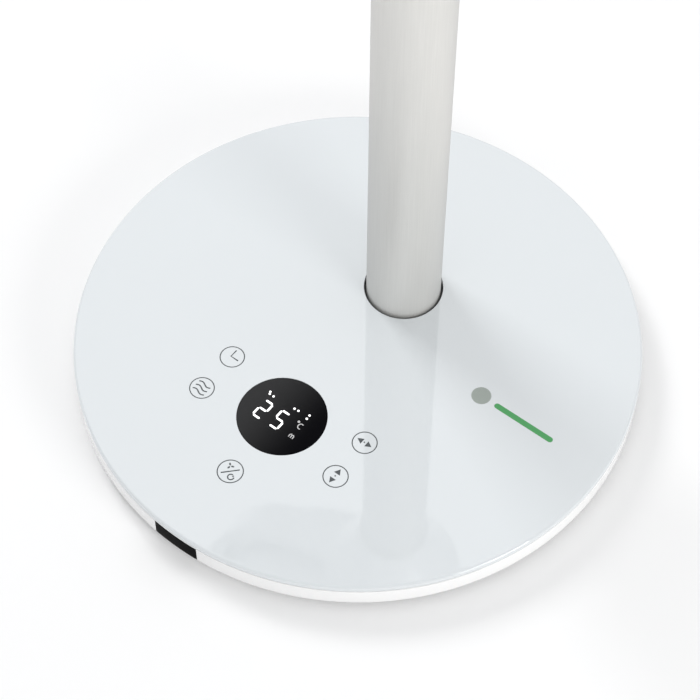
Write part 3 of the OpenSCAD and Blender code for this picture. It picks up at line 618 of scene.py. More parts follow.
def petal(centre, angle):
    """One oval blade of the fan sign, pointing away from its centre."""
    turn = Matrix.Rotation(math.radians(angle), 2)
    oval = [turn @ Vector(point) for point in arc((1.15, 0), (0.85, 0.48), 0, 345, 23)]
    return [(centre[0] + x, centre[1] + y) for x, y in oval]


def tray_profile(base_r):
    wall, step = 2.2 * MM, 1.2 * MM
    out_r, ledge_r = base_r - 0.1 * MM, base_r - 18 * MM
    inner_r = high("bottom_plate").x + 0.4 * MM
    shelf, ledge = high("bottom_plate").z + 0.6 * MM, TRAY_TOP - 2 * MM
    return ([(inner_r, TRAY_LOW)] + corner(out_r, TRAY_LOW, 2.4 * MM, -90, 8)
            + [(out_r, TRAY_LOW + 6 * MM), (out_r, TRAY_TOP - 1.1 * MM)]
            + corner(out_r, TRAY_TOP, 0.4 * MM, 0)
            + [(ledge_r, TRAY_TOP), (ledge_r, ledge), (out_r - wall, ledge),
               (out_r - wall, shelf + 0.8 * MM), (out_r - wall - step, shelf), (inner_r, shelf)])


class HEATER_OT_glass_top(bpy.types.Operator):
    """Model the round glass top with its polished rim, column hole and display hole"""
    bl_idname = "heater.glass_top"
    bl_label = "Glass top"

    def execute(self, context):
        sizes = context.scene.heater_sizes
        radius, chamfer = sizes.base_r, 0.5 * MM
        under = [(0, GLASS_LOW), (radius - chamfer, GLASS_LOW), (radius, GLASS_LOW + chamfer)]
        flat = [(r * MM, GLASS_TOP) for r in (147, 144, 0)]
        glass = lathe_base("glass_top", under + corner(radius, GLASS_TOP, sizes.rim_bevel, 0, 8) + flat)
        for centre, hole_r in ((POLE, sizes.column_r + 1.3 * MM), (DISPLAY, sizes.display_r + 0.05 * MM)):
            combine(glass, disc("hole", centre, hole_r, on_base, GLASS_LOW - MM, GLASS_TOP + MM, 128))
        smooth(glass, 25, flat_faces=True)
        finish_piece(glass, "panel_glass", "base", "top_glass")
        return {"FINISHED"}


class HEATER_OT_panel_signs(bpy.types.Operator):
    """Print the rings and signs of the five touch keys and the plain accent on the glass"""
    bl_idname = "heater.panel_signs"
    bl_label = "Panel signs"

    def execute(self, context):
        sizes = context.scene.heater_sizes
        z = GLASS_TOP + 0.004 * MM
        top = z + INK_T
        keys = {name: by_display(*place) for name, place in KEYS.items()}
        rings = [ring_stroke(centre, sizes.key_ring_r + (0.25 * MM if name == "power" else 0))
                 for name, centre in keys.items()]
        lines = {
            "timer": [[(-0.8, 4.5), (-0.8, -0.1), (4.0, -0.1)]],
            "airflow": [wave_stroke(y) for y in (2.5, -0.2, -2.8)],
            "power": [[(-3.4, -3.5), (3.3, 3.6)], arc((2.3, -2.4), 1.6, 85, 385, 24),
                      [(2.75, -1.75), (3.2, -0.95)]],
        }
        fine = [shifted(stroke, keys[name]) for name, strokes in lines.items() for stroke in strokes]
        printed = [ink("key_rings", rings, sizes.ink_w * 1.15, z), ink("key_signs", fine, sizes.ink_w * 1.4, z)]
        solids = {
            "swing": [[(-4.6, 0), (-1.4, -1.8), (-1.4, 1.8)], [(4.3, 0), (1.1, 1.8), (1.1, -1.8)]],
            "tilt": [[(-0.4, 4.8), (-2.3, 1.6), (1.5, 1.6)], [(-0.4, -4.8), (1.4, -1.6), (-2.2, -1.6)]],
            "power": [petal((-1.9, 2.5), angle) for angle in (20, 140, 260)],
        }
        for name, outlines in solids.items():
            printed += [plate("sign", shifted(outline, keys[name]), on_base, GLASS_TOP, top)
                        for outline in outlines]
            if name != "power":
                centre = (keys[name][0] - 0.3 * MM, keys[name][1] + 0.1 * MM)
                printed.append(disc("dot", centre, 0.42 * MM, on_base, GLASS_TOP, top, 16))
        finish_piece(join("key_print", printed), "panel_glass", "base", material="ink")
        dot = disc("accent_dot", (73.7 * MM, 9.3 * MM), 5.2 * MM, on_base, GLASS_TOP, top, 64)
        finish_piece(dot, "panel_glass", "base", material="mark_grey")
        left, right, middle, half = 84 * MM, 117 * MM, 9.2 * MM, 1.6 * MM
        ends = arc((right, middle), half, -90, 90, 12) + arc((left, middle), half, 90, 270, 12)
        bar = plate("accent_bar", ends, on_base, GLASS_TOP, top)
        finish_piece(bar, "panel_glass", "base", material="mark")
        return {"FINISHED"}


SEGMENTS = {"2": "abged", "5": "afgcd"}
SEGMENT_PLACES = {
    "a": (0, 1, False), "g": (0, 0, False), "d": (0, -1, False),
    "b": (1, 0.5, True), "c": (1, -0.5, True), "e": (-1, -0.5, True), "f": (-1, 0.5, True),
}


def segment_outline(centre, length, width, upright):
    """A bar with pointed ends."""
    point, half = width / 2, length / 2
    shape = [(-half, 0), (-half + point, -point), (half - point, -point),
             (half, 0), (half - point, point), (-half + point, point)]
    if upright:
        shape = [(-y, x) for x, y in shape]
    return [(centre[0] + x, centre[1] + y) for x, y in shape]


class HEATER_OT_display(bpy.types.Operator):
    """Model the black display window and its lit segments"""
    bl_idname = "heater.display"
    bl_label = "Display"

    def execute(self, context):
        radius = context.scene.heater_sizes.display_r
        skin = ([(0, GLASS_LOW), (radius, GLASS_LOW)] + corner(radius, GLASS_TOP, 0.35 * MM, 0)
                + [(radius - 2 * MM, GLASS_TOP), (0, GLASS_TOP)])
        window = lathe("display_glass", [Vector((DISPLAY.x + r, DISPLAY.y, z)) for r, z in skin],
                       (DISPLAY.x, DISPLAY.y, 0), Z_AXIS, 160)
        smooth(window, 25)
        finish_piece(window, "display_glass", "base", "display_window")
        lit = []
        half_w, half_h, thick, film = 2.45, 5.4, 1.1 * MM, (on_base, GLASS_TOP, GLASS_TOP + INK_T)
        for digit, x, y in (("2", -10.35, -2.85), ("5", 0.4, -2.5)):
            for letter in SEGMENTS[digit]:
                dx, dy, upright = SEGMENT_PLACES[letter]
                centre = by_display(x + dx * half_w, y + dy * half_h)
                length = (4.9 if upright else 4.5) * MM
                lit.append(plate("segment", segment_outline(centre, length, thick, upright), *film))
        for x, y in ((2.3, 7.5), (4.7, 7.7), (11.0, 9.0), (11.1, 6.6),
                     (-14.1, 7.9), (-13.5, 6.7), (-11.0, 6.7)):
            lit.append(disc("lit_dot", by_display(x, y), 0.62 * MM, *film, 16))
        finish_piece(join("display_digits", lit), "display_glass", "base", material="lit")
        degree = arc((11.5, 0.9), (1.4, 1.6), 60, 300, 14)
        sign = [(10.2, -7.6), (10.2, -6.0), (10.8, -5.3), (11.4, -6.0), (11.4, -7.6)]
        second = [(11.4, -6.1), (12.0, -5.4), (12.6, -6.1), (12.6, -7.6)]
        strokes = [shifted(line, DISPLAY) for line in (degree, sign, second)]
        strokes.append(ring_stroke(by_display(9.0, 2.7), 0.45 * MM, 16))
        dim = ink("display_signs", strokes, 0.55 * MM, GLASS_TOP + 0.01 * MM)
        finish_piece(dim, "display_glass", "base", material="dim")
        return {"FINISHED"}


class HEATER_OT_tray(bpy.types.Operator):
    """Model the white tray under the glass, with its sensor window and cord hole"""
    bl_idname = "heater.tray"
    bl_label = "Tray and sensor window"

    def execute(self, context):
        tray = lathe_base("tray", tray_profile(context.scene.heater_sizes.base_r))
        window = copy_of(tray, Matrix.Identity(4))
        window.name = "sensor_window"
        reach, gap = Vector((0, 6 * MM, 0)), Vector((0.15 * MM, 0, 0.15 * MM))
        start, stop = low("ir_window") - reach, high("ir_window")
        inner = box_piece("window_block", start + gap, stop - gap - Z_AXIS * (0.3 * MM))
        outer = box_piece("window_cut", start, stop - Z_AXIS * (0.1 * MM))
        combine(window, inner, "INTERSECT")
        bevel(window, 0.25 * MM)
        combine(tray, outer)
        gland, reach = (low("cord_gland") + high("cord_gland")) / 2, Y_AXIS * (20 * MM)
        combine(tray, rod_piece(gland + reach, gland - reach, 4.45 * MM, (90, 0, 0), 64))
        smooth(tray, 28)
        smooth(window, 28)
        finish_piece(tray, "white_shell", "base", "base_tray")
        finish_piece(window, "display_glass", "base", "ir_window", material="sensor_glass")
        return {"FINISHED"}


class HEATER_OT_feet(bpy.types.Operator):
    """Model the six rubber feet with their ring treads"""
    bl_idname = "heater.feet"
    bl_label = "Rubber feet"

    def execute(self, context):
        radius, edge = 8 * MM, 0.2 * MM
        top = high("rubber_feet").z
        spot = Vector((0, high("rubber_feet").y - radius, 0))
        tread = mm((0, 0.5), (2.6, 0.5), (2.9, 0), (4.2, 0), (4.5, 0.5), (5.4, 0.5), (5.7, 0), (7.2, 0),
                   (7.8, 0.5))
        profile = tread + [(radius, 1.2 * MM), (radius, top - edge), (radius - edge, top), (0, top)]
        foot = lathe("foot", [spot + Vector((r, 0, z)) for r, z in profile], spot, Z_AXIS, 48)
        smooth(foot, 30)
        finish_piece(ring_of(foot, 6, ORIGIN, Z_AXIS, "ring_tread_feet"), "rubber", "base", "rubber_feet")
        return {"FINISHED"}


# ------------------------------------------------------------------ screws

SCREW_R, SCREW_COUNT, SCREW_TURN = 128 * MM, 8, 22.5     # the screws that hold the head's two shells


def cross_screw(head_r, head_h, shank_r, length):
    """A screw with a domed head and a cross recess, head down at the origin."""
    profile = arc((0, head_h), (head_r, head_h), -90, 0, 6)
    profile += [(shank_r, head_h), (shank_r, length - shank_r), (0, length)]
    screw = lathe("screw", [Vector((r, 0, z)) for r, z in profile], ORIGIN, Z_AXIS, 32)
    depth, arm, width = head_h * 0.55, head_r * 0.6, head_r * 0.13
    for wide, deep in ((arm, width), (width, arm)):
        combine(screw, box_piece("recess", (-wide, -deep, -MM), (wide, deep, depth)))
    smooth(screw, 35)
    return screw


class HEATER_OT_screws(bpy.types.Operator):
    """Model the cross-head screws under the base, round the column's foot and in the head"""
    bl_idname = "heater.screws"
    bl_label = "Screws"

    def execute(self, context):
        floor = low("base_screws").z
        column = Vector((POLE.x, POLE.y, 0))
        self.add_set("base", 6, ORIGIN, Z_AXIS, (3, 1, 1.5, 8), Matrix.Translation((136 * MM, 0, floor)))
        place = Matrix.Translation(column) @ Matrix.Rotation(math.radians(45), 4, "Z")
        self.add_set("socket", 4, column, Z_AXIS, (4.6, 1, 2.45, 4.4),
                     place @ Matrix.Translation((29 * MM, 0, floor)))
        forward = Matrix.Translation(HEAD) @ Matrix.Rotation(math.radians(90), 4, "X")
        spot = Matrix.Rotation(math.radians(SCREW_TURN), 4, "Z") @ Matrix.Translation((SCREW_R, 0, -8 * MM))
        self.add_set("head", SCREW_COUNT, HEAD, Y_AXIS, (3, 2, 1.45, 32), forward @ spot)
        return {"FINISHED"}

    def add_set(self, name, count, about, axis, measures, place):
        """A ring of like screws, from one screw's measures in millimetres and its place."""
        screw = cross_screw(*[measure * MM for measure in measures])
        screw.data.transform(place)
        finish_piece(ring_of(screw, count, about, axis, "cross_screws_" + name),
                     "bright_steel", "head" if name == "head" else "base", name + "_screws")


# ------------------------------------------------------------------ column and neck

def rounded_tube(inner, outer, z0, z1, edge):
    """The section of a tube whose two outer edges are rounded."""
    return [(inner, z0)] + corner(outer, z0, edge, -90, 3) + corner(outer, z1, edge, 0, 3) + [(inner, z1)]


class HEATER_OT_column(bpy.types.Operator):
    """Model the column tube and the collar at its top"""
    bl_idname = "heater.column"
    bl_label = "Column"

    def execute(self, context):
        r, wall = context.scene.heater_sizes.column_r, 1.6 * MM
        z0, z1 = low("pole_tube").z, high("pole_tube").z
        outline = [(r - wall, z0)] + corner(r, z0, 0.4 * MM, -90, 3)
        outline += [(r, z0 + (z1 - z0) * share) for share in (0.06, 0.5, 0.94)] + [(r, z1), (r - wall, z1)]
        ring = rounded_tube(r + 0.02 * MM, radius_of("pole_collar"),
                            low("pole_collar").z, high("pole_collar").z, 0.8 * MM)
        for name, profile, slot, node in (("column_tube", outline, "column_metal", "pole_tube"),
                                          ("column_collar", ring, "champagne_trim", "pole_collar")):
            piece = lathe_pole(name, profile)
            smooth(piece)
            finish_piece(piece, slot, "base", node)
        return {"FINISHED"}


class HEATER_OT_neck(bpy.types.Operator):
    """Model the flared neck under the turntable"""
    bl_idname = "heater.neck"
    bl_label = "Neck"

    def execute(self, context):
        z0, z1, tube_z = low("neck_shell").z, high("neck_shell").z, high("pole_tube").z
        foot_r, top_r = context.scene.heater_sizes.column_r + 1.8 * MM, radius_of("neck_shell")
        wall, bore_r, shelf_r = 2.4 * MM, foot_r - 1.78 * MM, 14 * MM
        shares = [i / 28 for i in range(28)]
        flare = [(foot_r + (top_r - foot_r) * s ** 1.3, z0 + (z1 - z0) * s) for s in shares]
        inside = [(r - wall, z) for r, z in reversed(flare[10:])]
        outline = ([(bore_r, z0)] + flare + corner(top_r, z1, 0.9 * MM, 0) + [(top_r - wall, z1)] + inside
                   + [(shelf_r, inside[-1][1]), (shelf_r, tube_z), (bore_r, tube_z)])
        neck = lathe_pole("neck_flare", outline)
        smooth(neck)
        finish_piece(neck, "white_shell", "base", "neck_shell")
        return {"FINISHED"}


# ------------------------------------------------------------------ fork

FORK_IN, FORK_OUT = 147 * MM, 157 * MM
HUB_OUT = high("yoke_fork").x


def fork_arc(name, section, trim=0.0):
    """Spins a section, as pairs of radius and depth, round the lower half of the head."""
    turn = Matrix.Rotation(math.radians(trim), 4, "Y")
    points = [HEAD + turn @ Vector((r, w, 0)) for r, w in section]
    return lathe(name, points, HEAD, -Y_AXIS, 120, 180 - 2 * trim)


def pivot_disc(name, side, outline):
    """Spins an outline, as pairs of distance along the tilt axis and radius, on one side of the head."""
    return lathe(name, [HEAD + Vector((side * x, 0, r)) for x, r in outline], HEAD, X_AXIS, 128)


class HEATER_OT_fork(bpy.types.Operator):
    """Model the swivelling fork with its turntable, hubs, cover strip and caps"""
    bl_idname = "heater.fork"
    bl_label = "Fork"

    def execute(self, context):
        half, groove, groove_r, edge = 15 * MM, 9 * MM, FORK_IN + 4.5 * MM, 3 * MM
        fork = fork_arc("fork_band", (
            [(FORK_IN, -half + MM)] + corner(FORK_IN, -half, MM, 180, 3)[1:]
            + corner(FORK_OUT, -half, edge, -90, 6)
            + corner(FORK_OUT, half, edge, 0, 6) + corner(FORK_IN, half, MM, 90, 3)
            + [(FORK_IN, groove), (groove_r, groove), (groove_r, -groove), (FORK_IN, -groove)]))
        hub_r, rim = 21 * MM, 1.2 * MM
        hub = ([(HUB_OUT, 0), (HUB_OUT, hub_r - rim)] + corner(HUB_OUT, hub_r, rim, 0)[1:]
               + [(FORK_IN + rim, hub_r)] + corner(FORK_IN, hub_r, rim, 90)[1:] + [(FORK_IN, 0)])
        for side in (1, -1):
            combine(fork, pivot_disc("hub", side, hub), "UNION")
        z, table_r, flat_r = low("yoke_fork").z, 44 * MM, 18 * MM
        dome = ([(0, z), (table_r - MM, z), (table_r, z + MM)]
                + arc((flat_r, z + 4 * MM), (table_r - flat_r, 10 * MM), 0, 90, 16) + [(0, z + 14 * MM)])
        combine(fork, lathe_pole("turntable", dome), "UNION")
        foot, reach = [Vector((POLE.x, POLE.y, z + rise)) for rise in (-5 * MM, 9 * MM)], X_AXIS * 0.2
        combine(fork, rod_piece(HEAD - reach, HEAD + reach, 7.02 * MM, (0, 90, 0)))
        combine(fork, rod_piece(*foot, 9.02 * MM))
        smooth(fork, 30, flat_faces=True)
        finish_piece(fork, "white_shell", "yoke", "yoke_fork")
        self.add_strip()
        self.add_caps()
        return {"FINISHED"}

    def add_strip(self):
        """The cover strip over the wiring groove, with two shallow grip lines."""
        half, face, back = 8.9 * MM, FORK_IN + 0.05 * MM, FORK_IN + 1.6 * MM
        nick, edge = 0.35 * MM, 0.2 * MM
        section = [(face + edge, -half), (face, -half + edge)]
        for line in (-5 * MM, 5 * MM):
            section += [(face, line - 0.5 * MM), (face + nick, line - 0.2 * MM),
                        (face + nick, line + 0.2 * MM), (face, line + 0.5 * MM)]
        section += [(face, half - edge), (face + edge, half), (back, half), (back, -half)]
        strip = fork_arc("fork_strip", section, 8.8)
        smooth(strip, 30)
        finish_piece(strip, "strip_plastic", "yoke", "yoke_strip")

    def add_caps(self):
        """The two round caps over the pivots, each with a fine concentric groove."""
        shoulder = [(x, r) for r, x in arc((15.2 * MM, HUB_OUT + 0.3 * MM), (2.8 * MM, 2.2 * MM), 0, 80, 6)]
        face = mm((2.5, 14.2), (1.9, 13.8), (1.9, 13.4), (2.4, 13.0), (2.5, 9), (2.5, 0))
        outline = ([(HUB_OUT, 0), (HUB_OUT, 17.6 * MM), (HUB_OUT + 0.3 * MM, 18 * MM)] + shoulder
                   + [(HUB_OUT + x, r) for x, r in face])
        pair = join("fork_caps", [pivot_disc("cap", side, outline) for side in (1, -1)])
        smooth(pair, 30)
        finish_piece(pair, "champagne_trim", "yoke", "yoke_caps")


# ------------------------------------------------------------------ head

SPLIT_W = 16 * MM                                # where the two shells meet, forward of the tilt axis
APERTURE_R = 122 * MM
GRILLE_R, GRILLE_W = 112 * MM, 46 * MM
SEAM, SEAM_GAP = 0.4 * MM, 0.1 * MM
BACK, BACK_DEPTH = (70 * MM, -22 * MM), 36 * MM   # where the rear dome's round edge is centred, and its depth
SLOT_ROWS = ((40, 36, 4), (82, 32, 5.6))         # start, length and width of the rear slots, in millimetres


class HEATER_OT_front_shell(bpy.types.Operator):
    """Model the front shell and the bezel ring round the air outlet"""
    bl_idname = "heater.front_shell"
    bl_label = "Front shell and bezel"

    def execute(self, context):
        sizes = context.scene.heater_sizes
        r, t = sizes.head_r, sizes.shell_t
        split, lip, depth, mouth = SPLIT_W + SEAM_GAP, 36 * MM, 18 * MM, 38.1 * MM
        outline = [(r - SEAM, split), (r, split + SEAM)]
        outline += arc((APERTURE_R, lip), (r - APERTURE_R, depth), 0, 90, 18)
        outline += [(APERTURE_R, mouth), (APERTURE_R + t, mouth)]
        outline += arc((APERTURE_R, lip), (r - APERTURE_R - t, depth - t), 79, 0, 12) + [(r - t, split)]
        w = GRILLE_W + 8 * MM
        ring = [(GRILLE_R + 0.05 * MM, GRILLE_W), (APERTURE_R - 0.05 * MM, GRILLE_W)]
        ring += arc((APERTURE_R - 1.4 * MM, w + 0.9 * MM), 1.35 * MM, 0, 90, 5)
        ring += arc((GRILLE_R + 4 * MM, w - 2 * MM), (3.95 * MM, 4.2 * MM), 90, 180, 10)
        for name, profile, slot, node in (("front_cowl", outline, "white_shell", "front_shell"),
                                          ("bezel", ring, "champagne_trim", "bezel_ring")):
            piece = lathe_head(name, profile, 240)
            smooth(piece, 30)
            finish_piece(piece, slot, "head", node)
        return {"FINISHED"}


def vane_outline(r0, r1, side, count=12):
    """A curved vane that leans more as it runs outwards."""
    def point(r, offset):
        lean = math.radians(26) * ((r - 20) / 92) ** 1.2 + offset / r
        return r * math.cos(lean) * MM, r * math.sin(lean) * MM
    radii = [r0 + (r1 - r0) * i / count for i in range(count + 1)]
    return [point(r, side) for r in radii] + [point(r, -side) for r in reversed(radii)]


class HEATER_OT_front_grille(bpy.types.Operator):
    """Model the swirled front grille: vanes, rings and hub badge"""
    bl_idname = "heater.front_grille"
    bl_label = "Front grille"

    def execute(self, context):
        count = context.scene.heater_sizes.vane_count
        w = GRILLE_W
        parts = []
        for start, turn in ((21.0, 0.0), (50.6, 180 / count)):
            vane = plate("vane", vane_outline(start, 109.5, 0.85), on_head, w, w + 5 * MM)
            bevel(vane, 0.45 * MM, 60)
            vane.data.transform(turned(HEAD, Y_AXIS, turn))
            parts.append(ring_of(vane, count, HEAD, Y_AXIS, "vanes"))
        for inner, outer, top in ((49, 52, 2), (78.5, 81.5, 2), (108, 111.9, 5.5)):
            profile = rounded_tube(inner * MM, outer * MM, w - 0.5 * MM, w + top * MM, 0.5 * MM)
            parts.append(lathe_head("grille_ring", profile))
        hub = [(0, w - MM), (22 * MM, w - MM), (22 * MM, w + 5 * MM)]
        hub += arc((20.8 * MM, w + 5 * MM), 1.2 * MM, 0, 90, 4)
        hub += [(r, w + rise) for r, rise in mm((17.5, 6.3), (17, 5.6), (16.4, 5.6), (15.9, 6.5))]
        hub += arc((0, w + 6.6 * MM), (15.8 * MM, 2.3 * MM), 8, 90, 12)
        parts.append(lathe_head("grille_hub", hub))
        grille = join("outlet_grille", parts)
        smooth(grille, 35)
        finish_piece(grille, "grille_plastic", "head", "front_grille")
        return {"FINISHED"}


def slot_outline(start, length, width):
    """A round-ended slot along a radius."""
    half = width / 2
    return arc((start + length - half, 0), half, -90, 90, 8) + arc((start + half, 0), half, 90, 270, 8)


class HEATER_OT_rear_shell(bpy.types.Operator):
    """Model the domed rear shell with its two rings of air slots and its screw wells"""
    bl_idname = "heater.rear_shell"
    bl_label = "Rear shell"

    def execute(self, context):
        sizes = context.scene.heater_sizes
        r, t = sizes.head_r, sizes.shell_t
        outer = Vector((r - BACK[0], BACK_DEPTH))
        inner = outer - Vector((t, t))
        split = SPLIT_W - SEAM_GAP
        outline = [(0, BACK[1] - outer.y)] + arc(BACK, outer, -90, 0, 24)
        outline += [(r, split - SEAM), (r - SEAM, split), (r - t, split)]
        outline += arc(BACK, inner, 0, -90, 24) + [(0, BACK[1] - inner.y)]
        skin = lathe_head("rear_dome", outline, 216)
        for row in SLOT_ROWS:
            slot = plate("slot", slot_outline(*[size * MM for size in row]), on_head, -70 * MM, -30 * MM)
            combine(skin, ring_of(slot, sizes.vane_count, HEAD, Y_AXIS, "slots"))
        bevel(skin, 0.4 * MM)
        self.add_wells(skin, r)
        smooth(skin, flat_faces=True)
        finish_piece(skin, "white_shell", "head", "rear_shell")
        return {"FINISHED"}

    def add_wells(self, skin, head_r):
        """Adds the screw posts inside the shell and sinks their wells from the back."""
        spot = turned(HEAD, Y_AXIS, SCREW_TURN)
        inset = 1.2 * MM
        post = disc("post", (SCREW_R, 0), 4.8 * MM, on_head, -46 * MM, SPLIT_W - 2 * SEAM_GAP, 40)
        post.data.transform(spot)
        posts = ring_of(post, SCREW_COUNT, HEAD, Y_AXIS, "posts")
        inside = [(0, SPLIT_W), (head_r - inset, SPLIT_W), (head_r - inset, 4 * MM)]
        inside += arc(BACK, (head_r - BACK[0] - inset, BACK_DEPTH - inset), 0, -90, 20)
        inside.append((0, BACK[1] - BACK_DEPTH + inset))
        combine(posts, lathe_head("inside", inside), "INTERSECT")
        combine(skin, posts, "UNION")
        bore = mm((0, -60), (3.4, -60), (3.4, -6), (1.5, -6), (1.5, 20), (0, 20))
        drill = lathe("drill", [on_head(SCREW_R + r, 0, w) for r, w in bore],
                      on_head(SCREW_R, 0, 0), Y_AXIS, 40)
        drill.data.transform(spot)
        combine(skin, ring_of(drill, SCREW_COUNT, HEAD, Y_AXIS, "drills"))


class HEATER_OT_heating_core(bpy.types.Operator):
    """Model the ceramic bars and the corrugated aluminium fins between them"""
    bl_idname = "heater.heating_core"
    bl_label = "Heating core"

    def execute(self, context):
        pitch, bar_t, near, far = 24 * MM, 5 * MM, 24 * MM, 36 * MM
        gap, fold = pitch - bar_t, 3.2 * MM

        def half_length(y, height, spare):
            """Half the length that fits in the round core at a height."""
            return math.sqrt((102.5 * MM) ** 2 - (abs(y) + height / 2) ** 2) - spare

        bars, fins = [], []
        for i in range(7):
            y = (i - 3) * pitch
            half = half_length(y, bar_t, 0.5 * MM)
            bar = box_piece("bar", on_head(-half, y - bar_t / 2, near), on_head(half, y + bar_t / 2, far))
            bevel(bar, 0.6 * MM)
            bars.append(bar)
        finish_piece(join("element_bars", bars), "heater_ceramic", "head", "ceramic_bars")
        for i in range(8):
            y = (i - 3.5) * pitch
            folds = 2 * int(half_length(y, gap, 1.5 * MM) / fold)
            reach = gap / 2 - 0.4 * MM
            fins.append(draw_line("fin", [
                on_head((j - folds / 2) * fold, y + (-reach if j % 2 else reach), 25 * MM)
                for j in range(folds + 1)]))
            bpy.ops.mesh.extrude_region_move(TRANSFORM_OT_translate={"value": (0, -10 * MM, 0)})
            bpy.ops.object.mode_set(mode="OBJECT")
        row = join("element_fins", fins)
        modify(row, "SOLIDIFY", thickness=0.4 * MM, offset=0.0)
        finish_piece(row, "fin_aluminium", "head", "heater_fins")
        return {"FINISHED"}


class HEATER_OT_fan(bpy.types.Operator):
    """Model the axial fan: twisted blades, hub and nose"""
    bl_idname = "heater.fan"
    bl_label = "Fan"

    def execute(self, context):
        blades = ring_of(self.make_blade(), context.scene.heater_sizes.blade_count, HEAD, Y_AXIS, "blades")
        shaft_r, hub_r, top, low_w, web = 4.02 * MM, 24 * MM, 10 * MM, -12 * MM, -8 * MM
        profile = [(shaft_r, web), (21.5 * MM, web), (21.5 * MM, low_w), (hub_r, low_w)]
        profile += corner(hub_r, top, 2.5 * MM, 0, 6) + [(shaft_r, top)]
        fan = join("fan_wheel", [blades, lathe_head("hub_drum", profile, 96)])
        smooth(fan, 40)
        finish_piece(fan, "fan_plastic", "fan", "impeller")
        nose = [(10 * MM, top)] + arc((0, 13 * MM), (10 * MM, 6 * MM), 0, 90, 10)
        nut = lathe_head("nose", nose + [(0, 12 * MM), (shaft_r, 12 * MM), (shaft_r, top)], 64)
        flute = disc("flute", (11 * MM, 0), 1.8 * MM, on_head, 9 * MM, 14 * MM, 20)
        combine(nut, ring_of(flute, 8, HEAD, Y_AXIS, "flutes"))
        smooth(nut, 35)
        finish_piece(nut, "fan_plastic", "fan", "impeller_nut")
        return {"FINISHED"}

    def make_blade(self):
        """Extrudes a blade's chord outwards from the hub, turning and widening it at each step."""
        steps, root, tip, cross = 9, 22.5 * MM, 101 * MM, 6
        chord, pitch, camber, lean = 40 * MM, math.radians(38), 1.8 * MM, 0.03 * MM
        blade = draw_line("blade", [
            on_head(root, (k / cross - 0.5) * chord * math.cos(pitch),
                    (0.5 - k / cross) * chord * math.sin(pitch) + camber * math.sin(math.pi * k / cross))
            for k in range(cross + 1)])
        for i in range(steps):
            bpy.ops.mesh.extrude_region_move(TRANSFORM_OT_translate={"value": ((tip - root) / steps, 0, lean)})
            middle = on_head(root + (tip - root) * (i + 1) / steps, 0, 0)
            bpy.ops.transform.rotate(value=math.radians(1.7), orient_axis="X", center_override=middle)
            bpy.ops.transform.resize(value=(1, 1.035, 1.055), center_override=middle)
        bpy.ops.mesh.select_all(action="SELECT")
        bpy.ops.mesh.normals_make_consistent(inside=False)
        bpy.ops.object.mode_set(mode="OBJECT")
        modify(blade, "SOLIDIFY", thickness=1.6 * MM, offset=0.0, use_even_offset=True)
        bevel(blade, 0.5 * MM)
        combine(blade, lathe_head("trim", mm((19, -14), (101, -14), (101, 14), (19, 14)), 96), "INTERSECT")
        return blade


# ------------------------------------------------------------------ frame nodes and stage

class HEATER_OT_dress_frame(bpy.types.Operator):
    """Make the materials, and give every engineering node that stays in view its own"""
    bl_idname = "heater.dress_frame"
    bl_label = "Dress the frame"

    def execute(self, context):
        MATERIALS.update(build_materials(context.scene.heater_colours))
        for part in frame["record"]["subparts"]:
            slots = frame["nodes"][part["node"]].data.materials
            material = MATERIALS[part["material_slot"]]
            for index in range(len(slots)):
                slots[index] = material
            if not slots:
                slots.append(material)
        return {"FINISHED"}


HEADING = 37.2           # degrees from the front to the side that the view is taken from
CAMERA_REACH, CAMERA_RISE = 644 * MM, 972.5 * MM
CAMERA_LENS = 111.9
CAMERA_PAN, CAMERA_DIP, CAMERA_ROLL = 0.37, 56.32, 0.31  # degrees: off the heading, down, and about its axis


def around_base(right, towards, up):
    """A place given from the viewer's side: to the right, towards the viewer, and up."""
    turn = Matrix.Rotation(math.radians(HEADING), 3, "Z")
    return turn @ Vector((right, -towards, up))


def add_area(name, place, target, size, power, colour=(1, 1, 1)):
    """A rectangular soft light that faces a target."""
    data = bpy.data.lights.new(name, "AREA")
    data.shape = "RECTANGLE"
    data.size, data.size_y = size
    data.energy = power
    data.color = colour
    light = bpy.data.objects.new(name, data)
    bpy.context.scene.collection.objects.link(light)
    light.location = place
    light.rotation_euler = (Vector(target) - place).to_track_quat("-Z", "Y").to_euler()
    return light


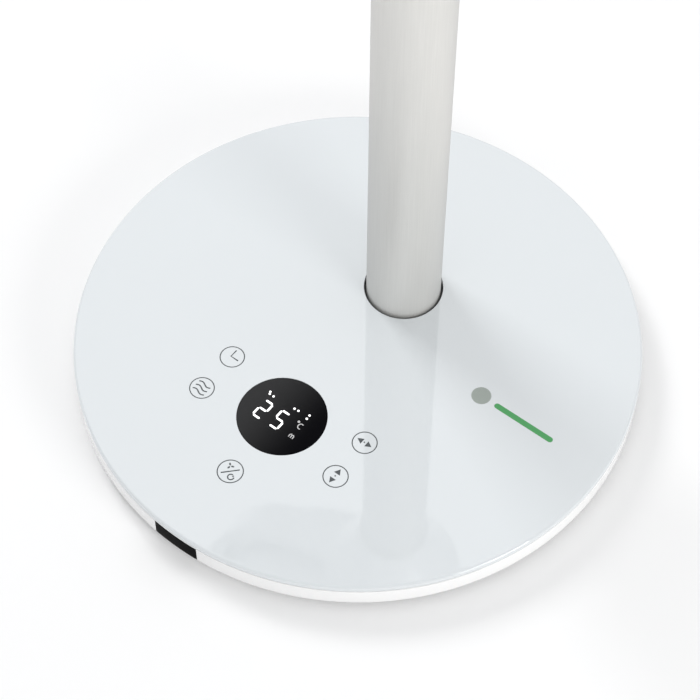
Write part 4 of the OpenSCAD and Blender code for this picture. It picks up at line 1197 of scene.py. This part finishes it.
class HEATER_OT_stage(bpy.types.Operator):
    """Set up the pale floor, the soft studio light and the camera"""
    bl_idname = "heater.stage"
    bl_label = "Stage"

    def execute(self, context):
        self.add_floor()
        self.add_lights(context.scene)
        self.add_camera(context.scene)
        context.scene.view_settings.view_transform = "Standard"
        return {"FINISHED"}

    def add_floor(self):
        bpy.ops.object.select_all(action="DESELECT")
        bpy.ops.mesh.primitive_circle_add(vertices=96, radius=6, fill_type="NGON", location=(0, 0, 0))
        floor = bpy.context.object
        floor.name = "floor"
        material = bpy.data.materials.new("floor_paper")
        material.use_nodes = True
        t = Tree(material.node_tree)
        surface = material.node_tree.nodes["Principled BSDF"].inputs
        tone = t.noise(t.place(), 3.0, 2.0)
        t.feed(surface["Base Color"], t.mix(tone, (0.93, 0.93, 0.93, 1), (0.95, 0.95, 0.95, 1)))
        surface["Roughness"].default_value = 0.85
        floor.data.materials.append(material)

    def add_lights(self, scene):
        add_area("front_light", around_base(1.5, 1.6, 0.75), (0, 0, 0.1), (0.9, 0.7), 19, (1.0, 0.99, 0.97))
        back = add_area("back_light", around_base(-1.2, -1.5, 1.7), ORIGIN, (0.9, 0.9), 24)
        back.visible_glossy = False
        screen = add_area("back_screen", around_base(0, -2.4, 3.6), ORIGIN, (5.0, 3.6), 42)
        screen.visible_diffuse = False
        world = bpy.data.worlds.new("studio")
        scene.world = world
        world.use_nodes = True
        sky = world.node_tree.nodes["Background"].inputs
        sky["Color"].default_value = (0.985, 0.99, 1.0, 1)
        sky["Strength"].default_value = 0.74

    def add_camera(self, scene):
        data = bpy.data.cameras.new("camera")
        data.sensor_width = 36
        data.lens = CAMERA_LENS
        data.clip_start = 0.01
        camera = bpy.data.objects.new("camera", data)
        scene.collection.objects.link(camera)
        matrix = Matrix.Translation(around_base(0, CAMERA_REACH, CAMERA_RISE))
        for degrees, axis in ((HEADING + CAMERA_PAN, "Z"), (90 - CAMERA_DIP, "X"), (CAMERA_ROLL, "Z")):
            matrix = matrix @ Matrix.Rotation(math.radians(degrees), 4, axis)
        camera.matrix_world = matrix
        scene.camera = camera


# ------------------------------------------------------------------ panel and registration

PIECES = (
    HEATER_OT_dress_frame, HEATER_OT_glass_top, HEATER_OT_panel_signs, HEATER_OT_display, HEATER_OT_tray,
    HEATER_OT_feet, HEATER_OT_screws, HEATER_OT_column, HEATER_OT_neck, HEATER_OT_fork,
    HEATER_OT_front_shell, HEATER_OT_front_grille, HEATER_OT_rear_shell, HEATER_OT_heating_core,
    HEATER_OT_fan, HEATER_OT_stage,
)


class HEATER_PT_sidebar(bpy.types.Panel):
    bl_idname = "HEATER_PT_sidebar"
    bl_label = "Pedestal fan heater"
    bl_space_type = "VIEW_3D"
    bl_region_type = "UI"
    bl_category = "Heater"

    def draw(self, context):
        column = self.layout.column(align=True)
        for group in (context.scene.heater_sizes, context.scene.heater_colours):
            for name in group.bl_rna.properties.keys():
                if name not in ("rna_type", "name"):
                    column.prop(group, name)
        for piece in PIECES:
            column.operator(piece.bl_idname)


CLASSES = (HeaterSizes, HeaterColours) + PIECES + (HEATER_PT_sidebar,)


def register():
    for cls in CLASSES:
        bpy.utils.register_class(cls)
    bpy.types.Scene.heater_sizes = bpy.props.PointerProperty(type=HeaterSizes)
    bpy.types.Scene.heater_colours = bpy.props.PointerProperty(type=HeaterColours)


def unregister():
    del bpy.types.Scene.heater_colours
    del bpy.types.Scene.heater_sizes
    for cls in reversed(CLASSES):
        bpy.utils.unregister_class(cls)


def main():
    register()
    for piece in PIECES:
        group, name = piece.bl_idname.split(".")
        getattr(getattr(bpy.ops, group), name)()


if __name__ == "__main__":
    main()
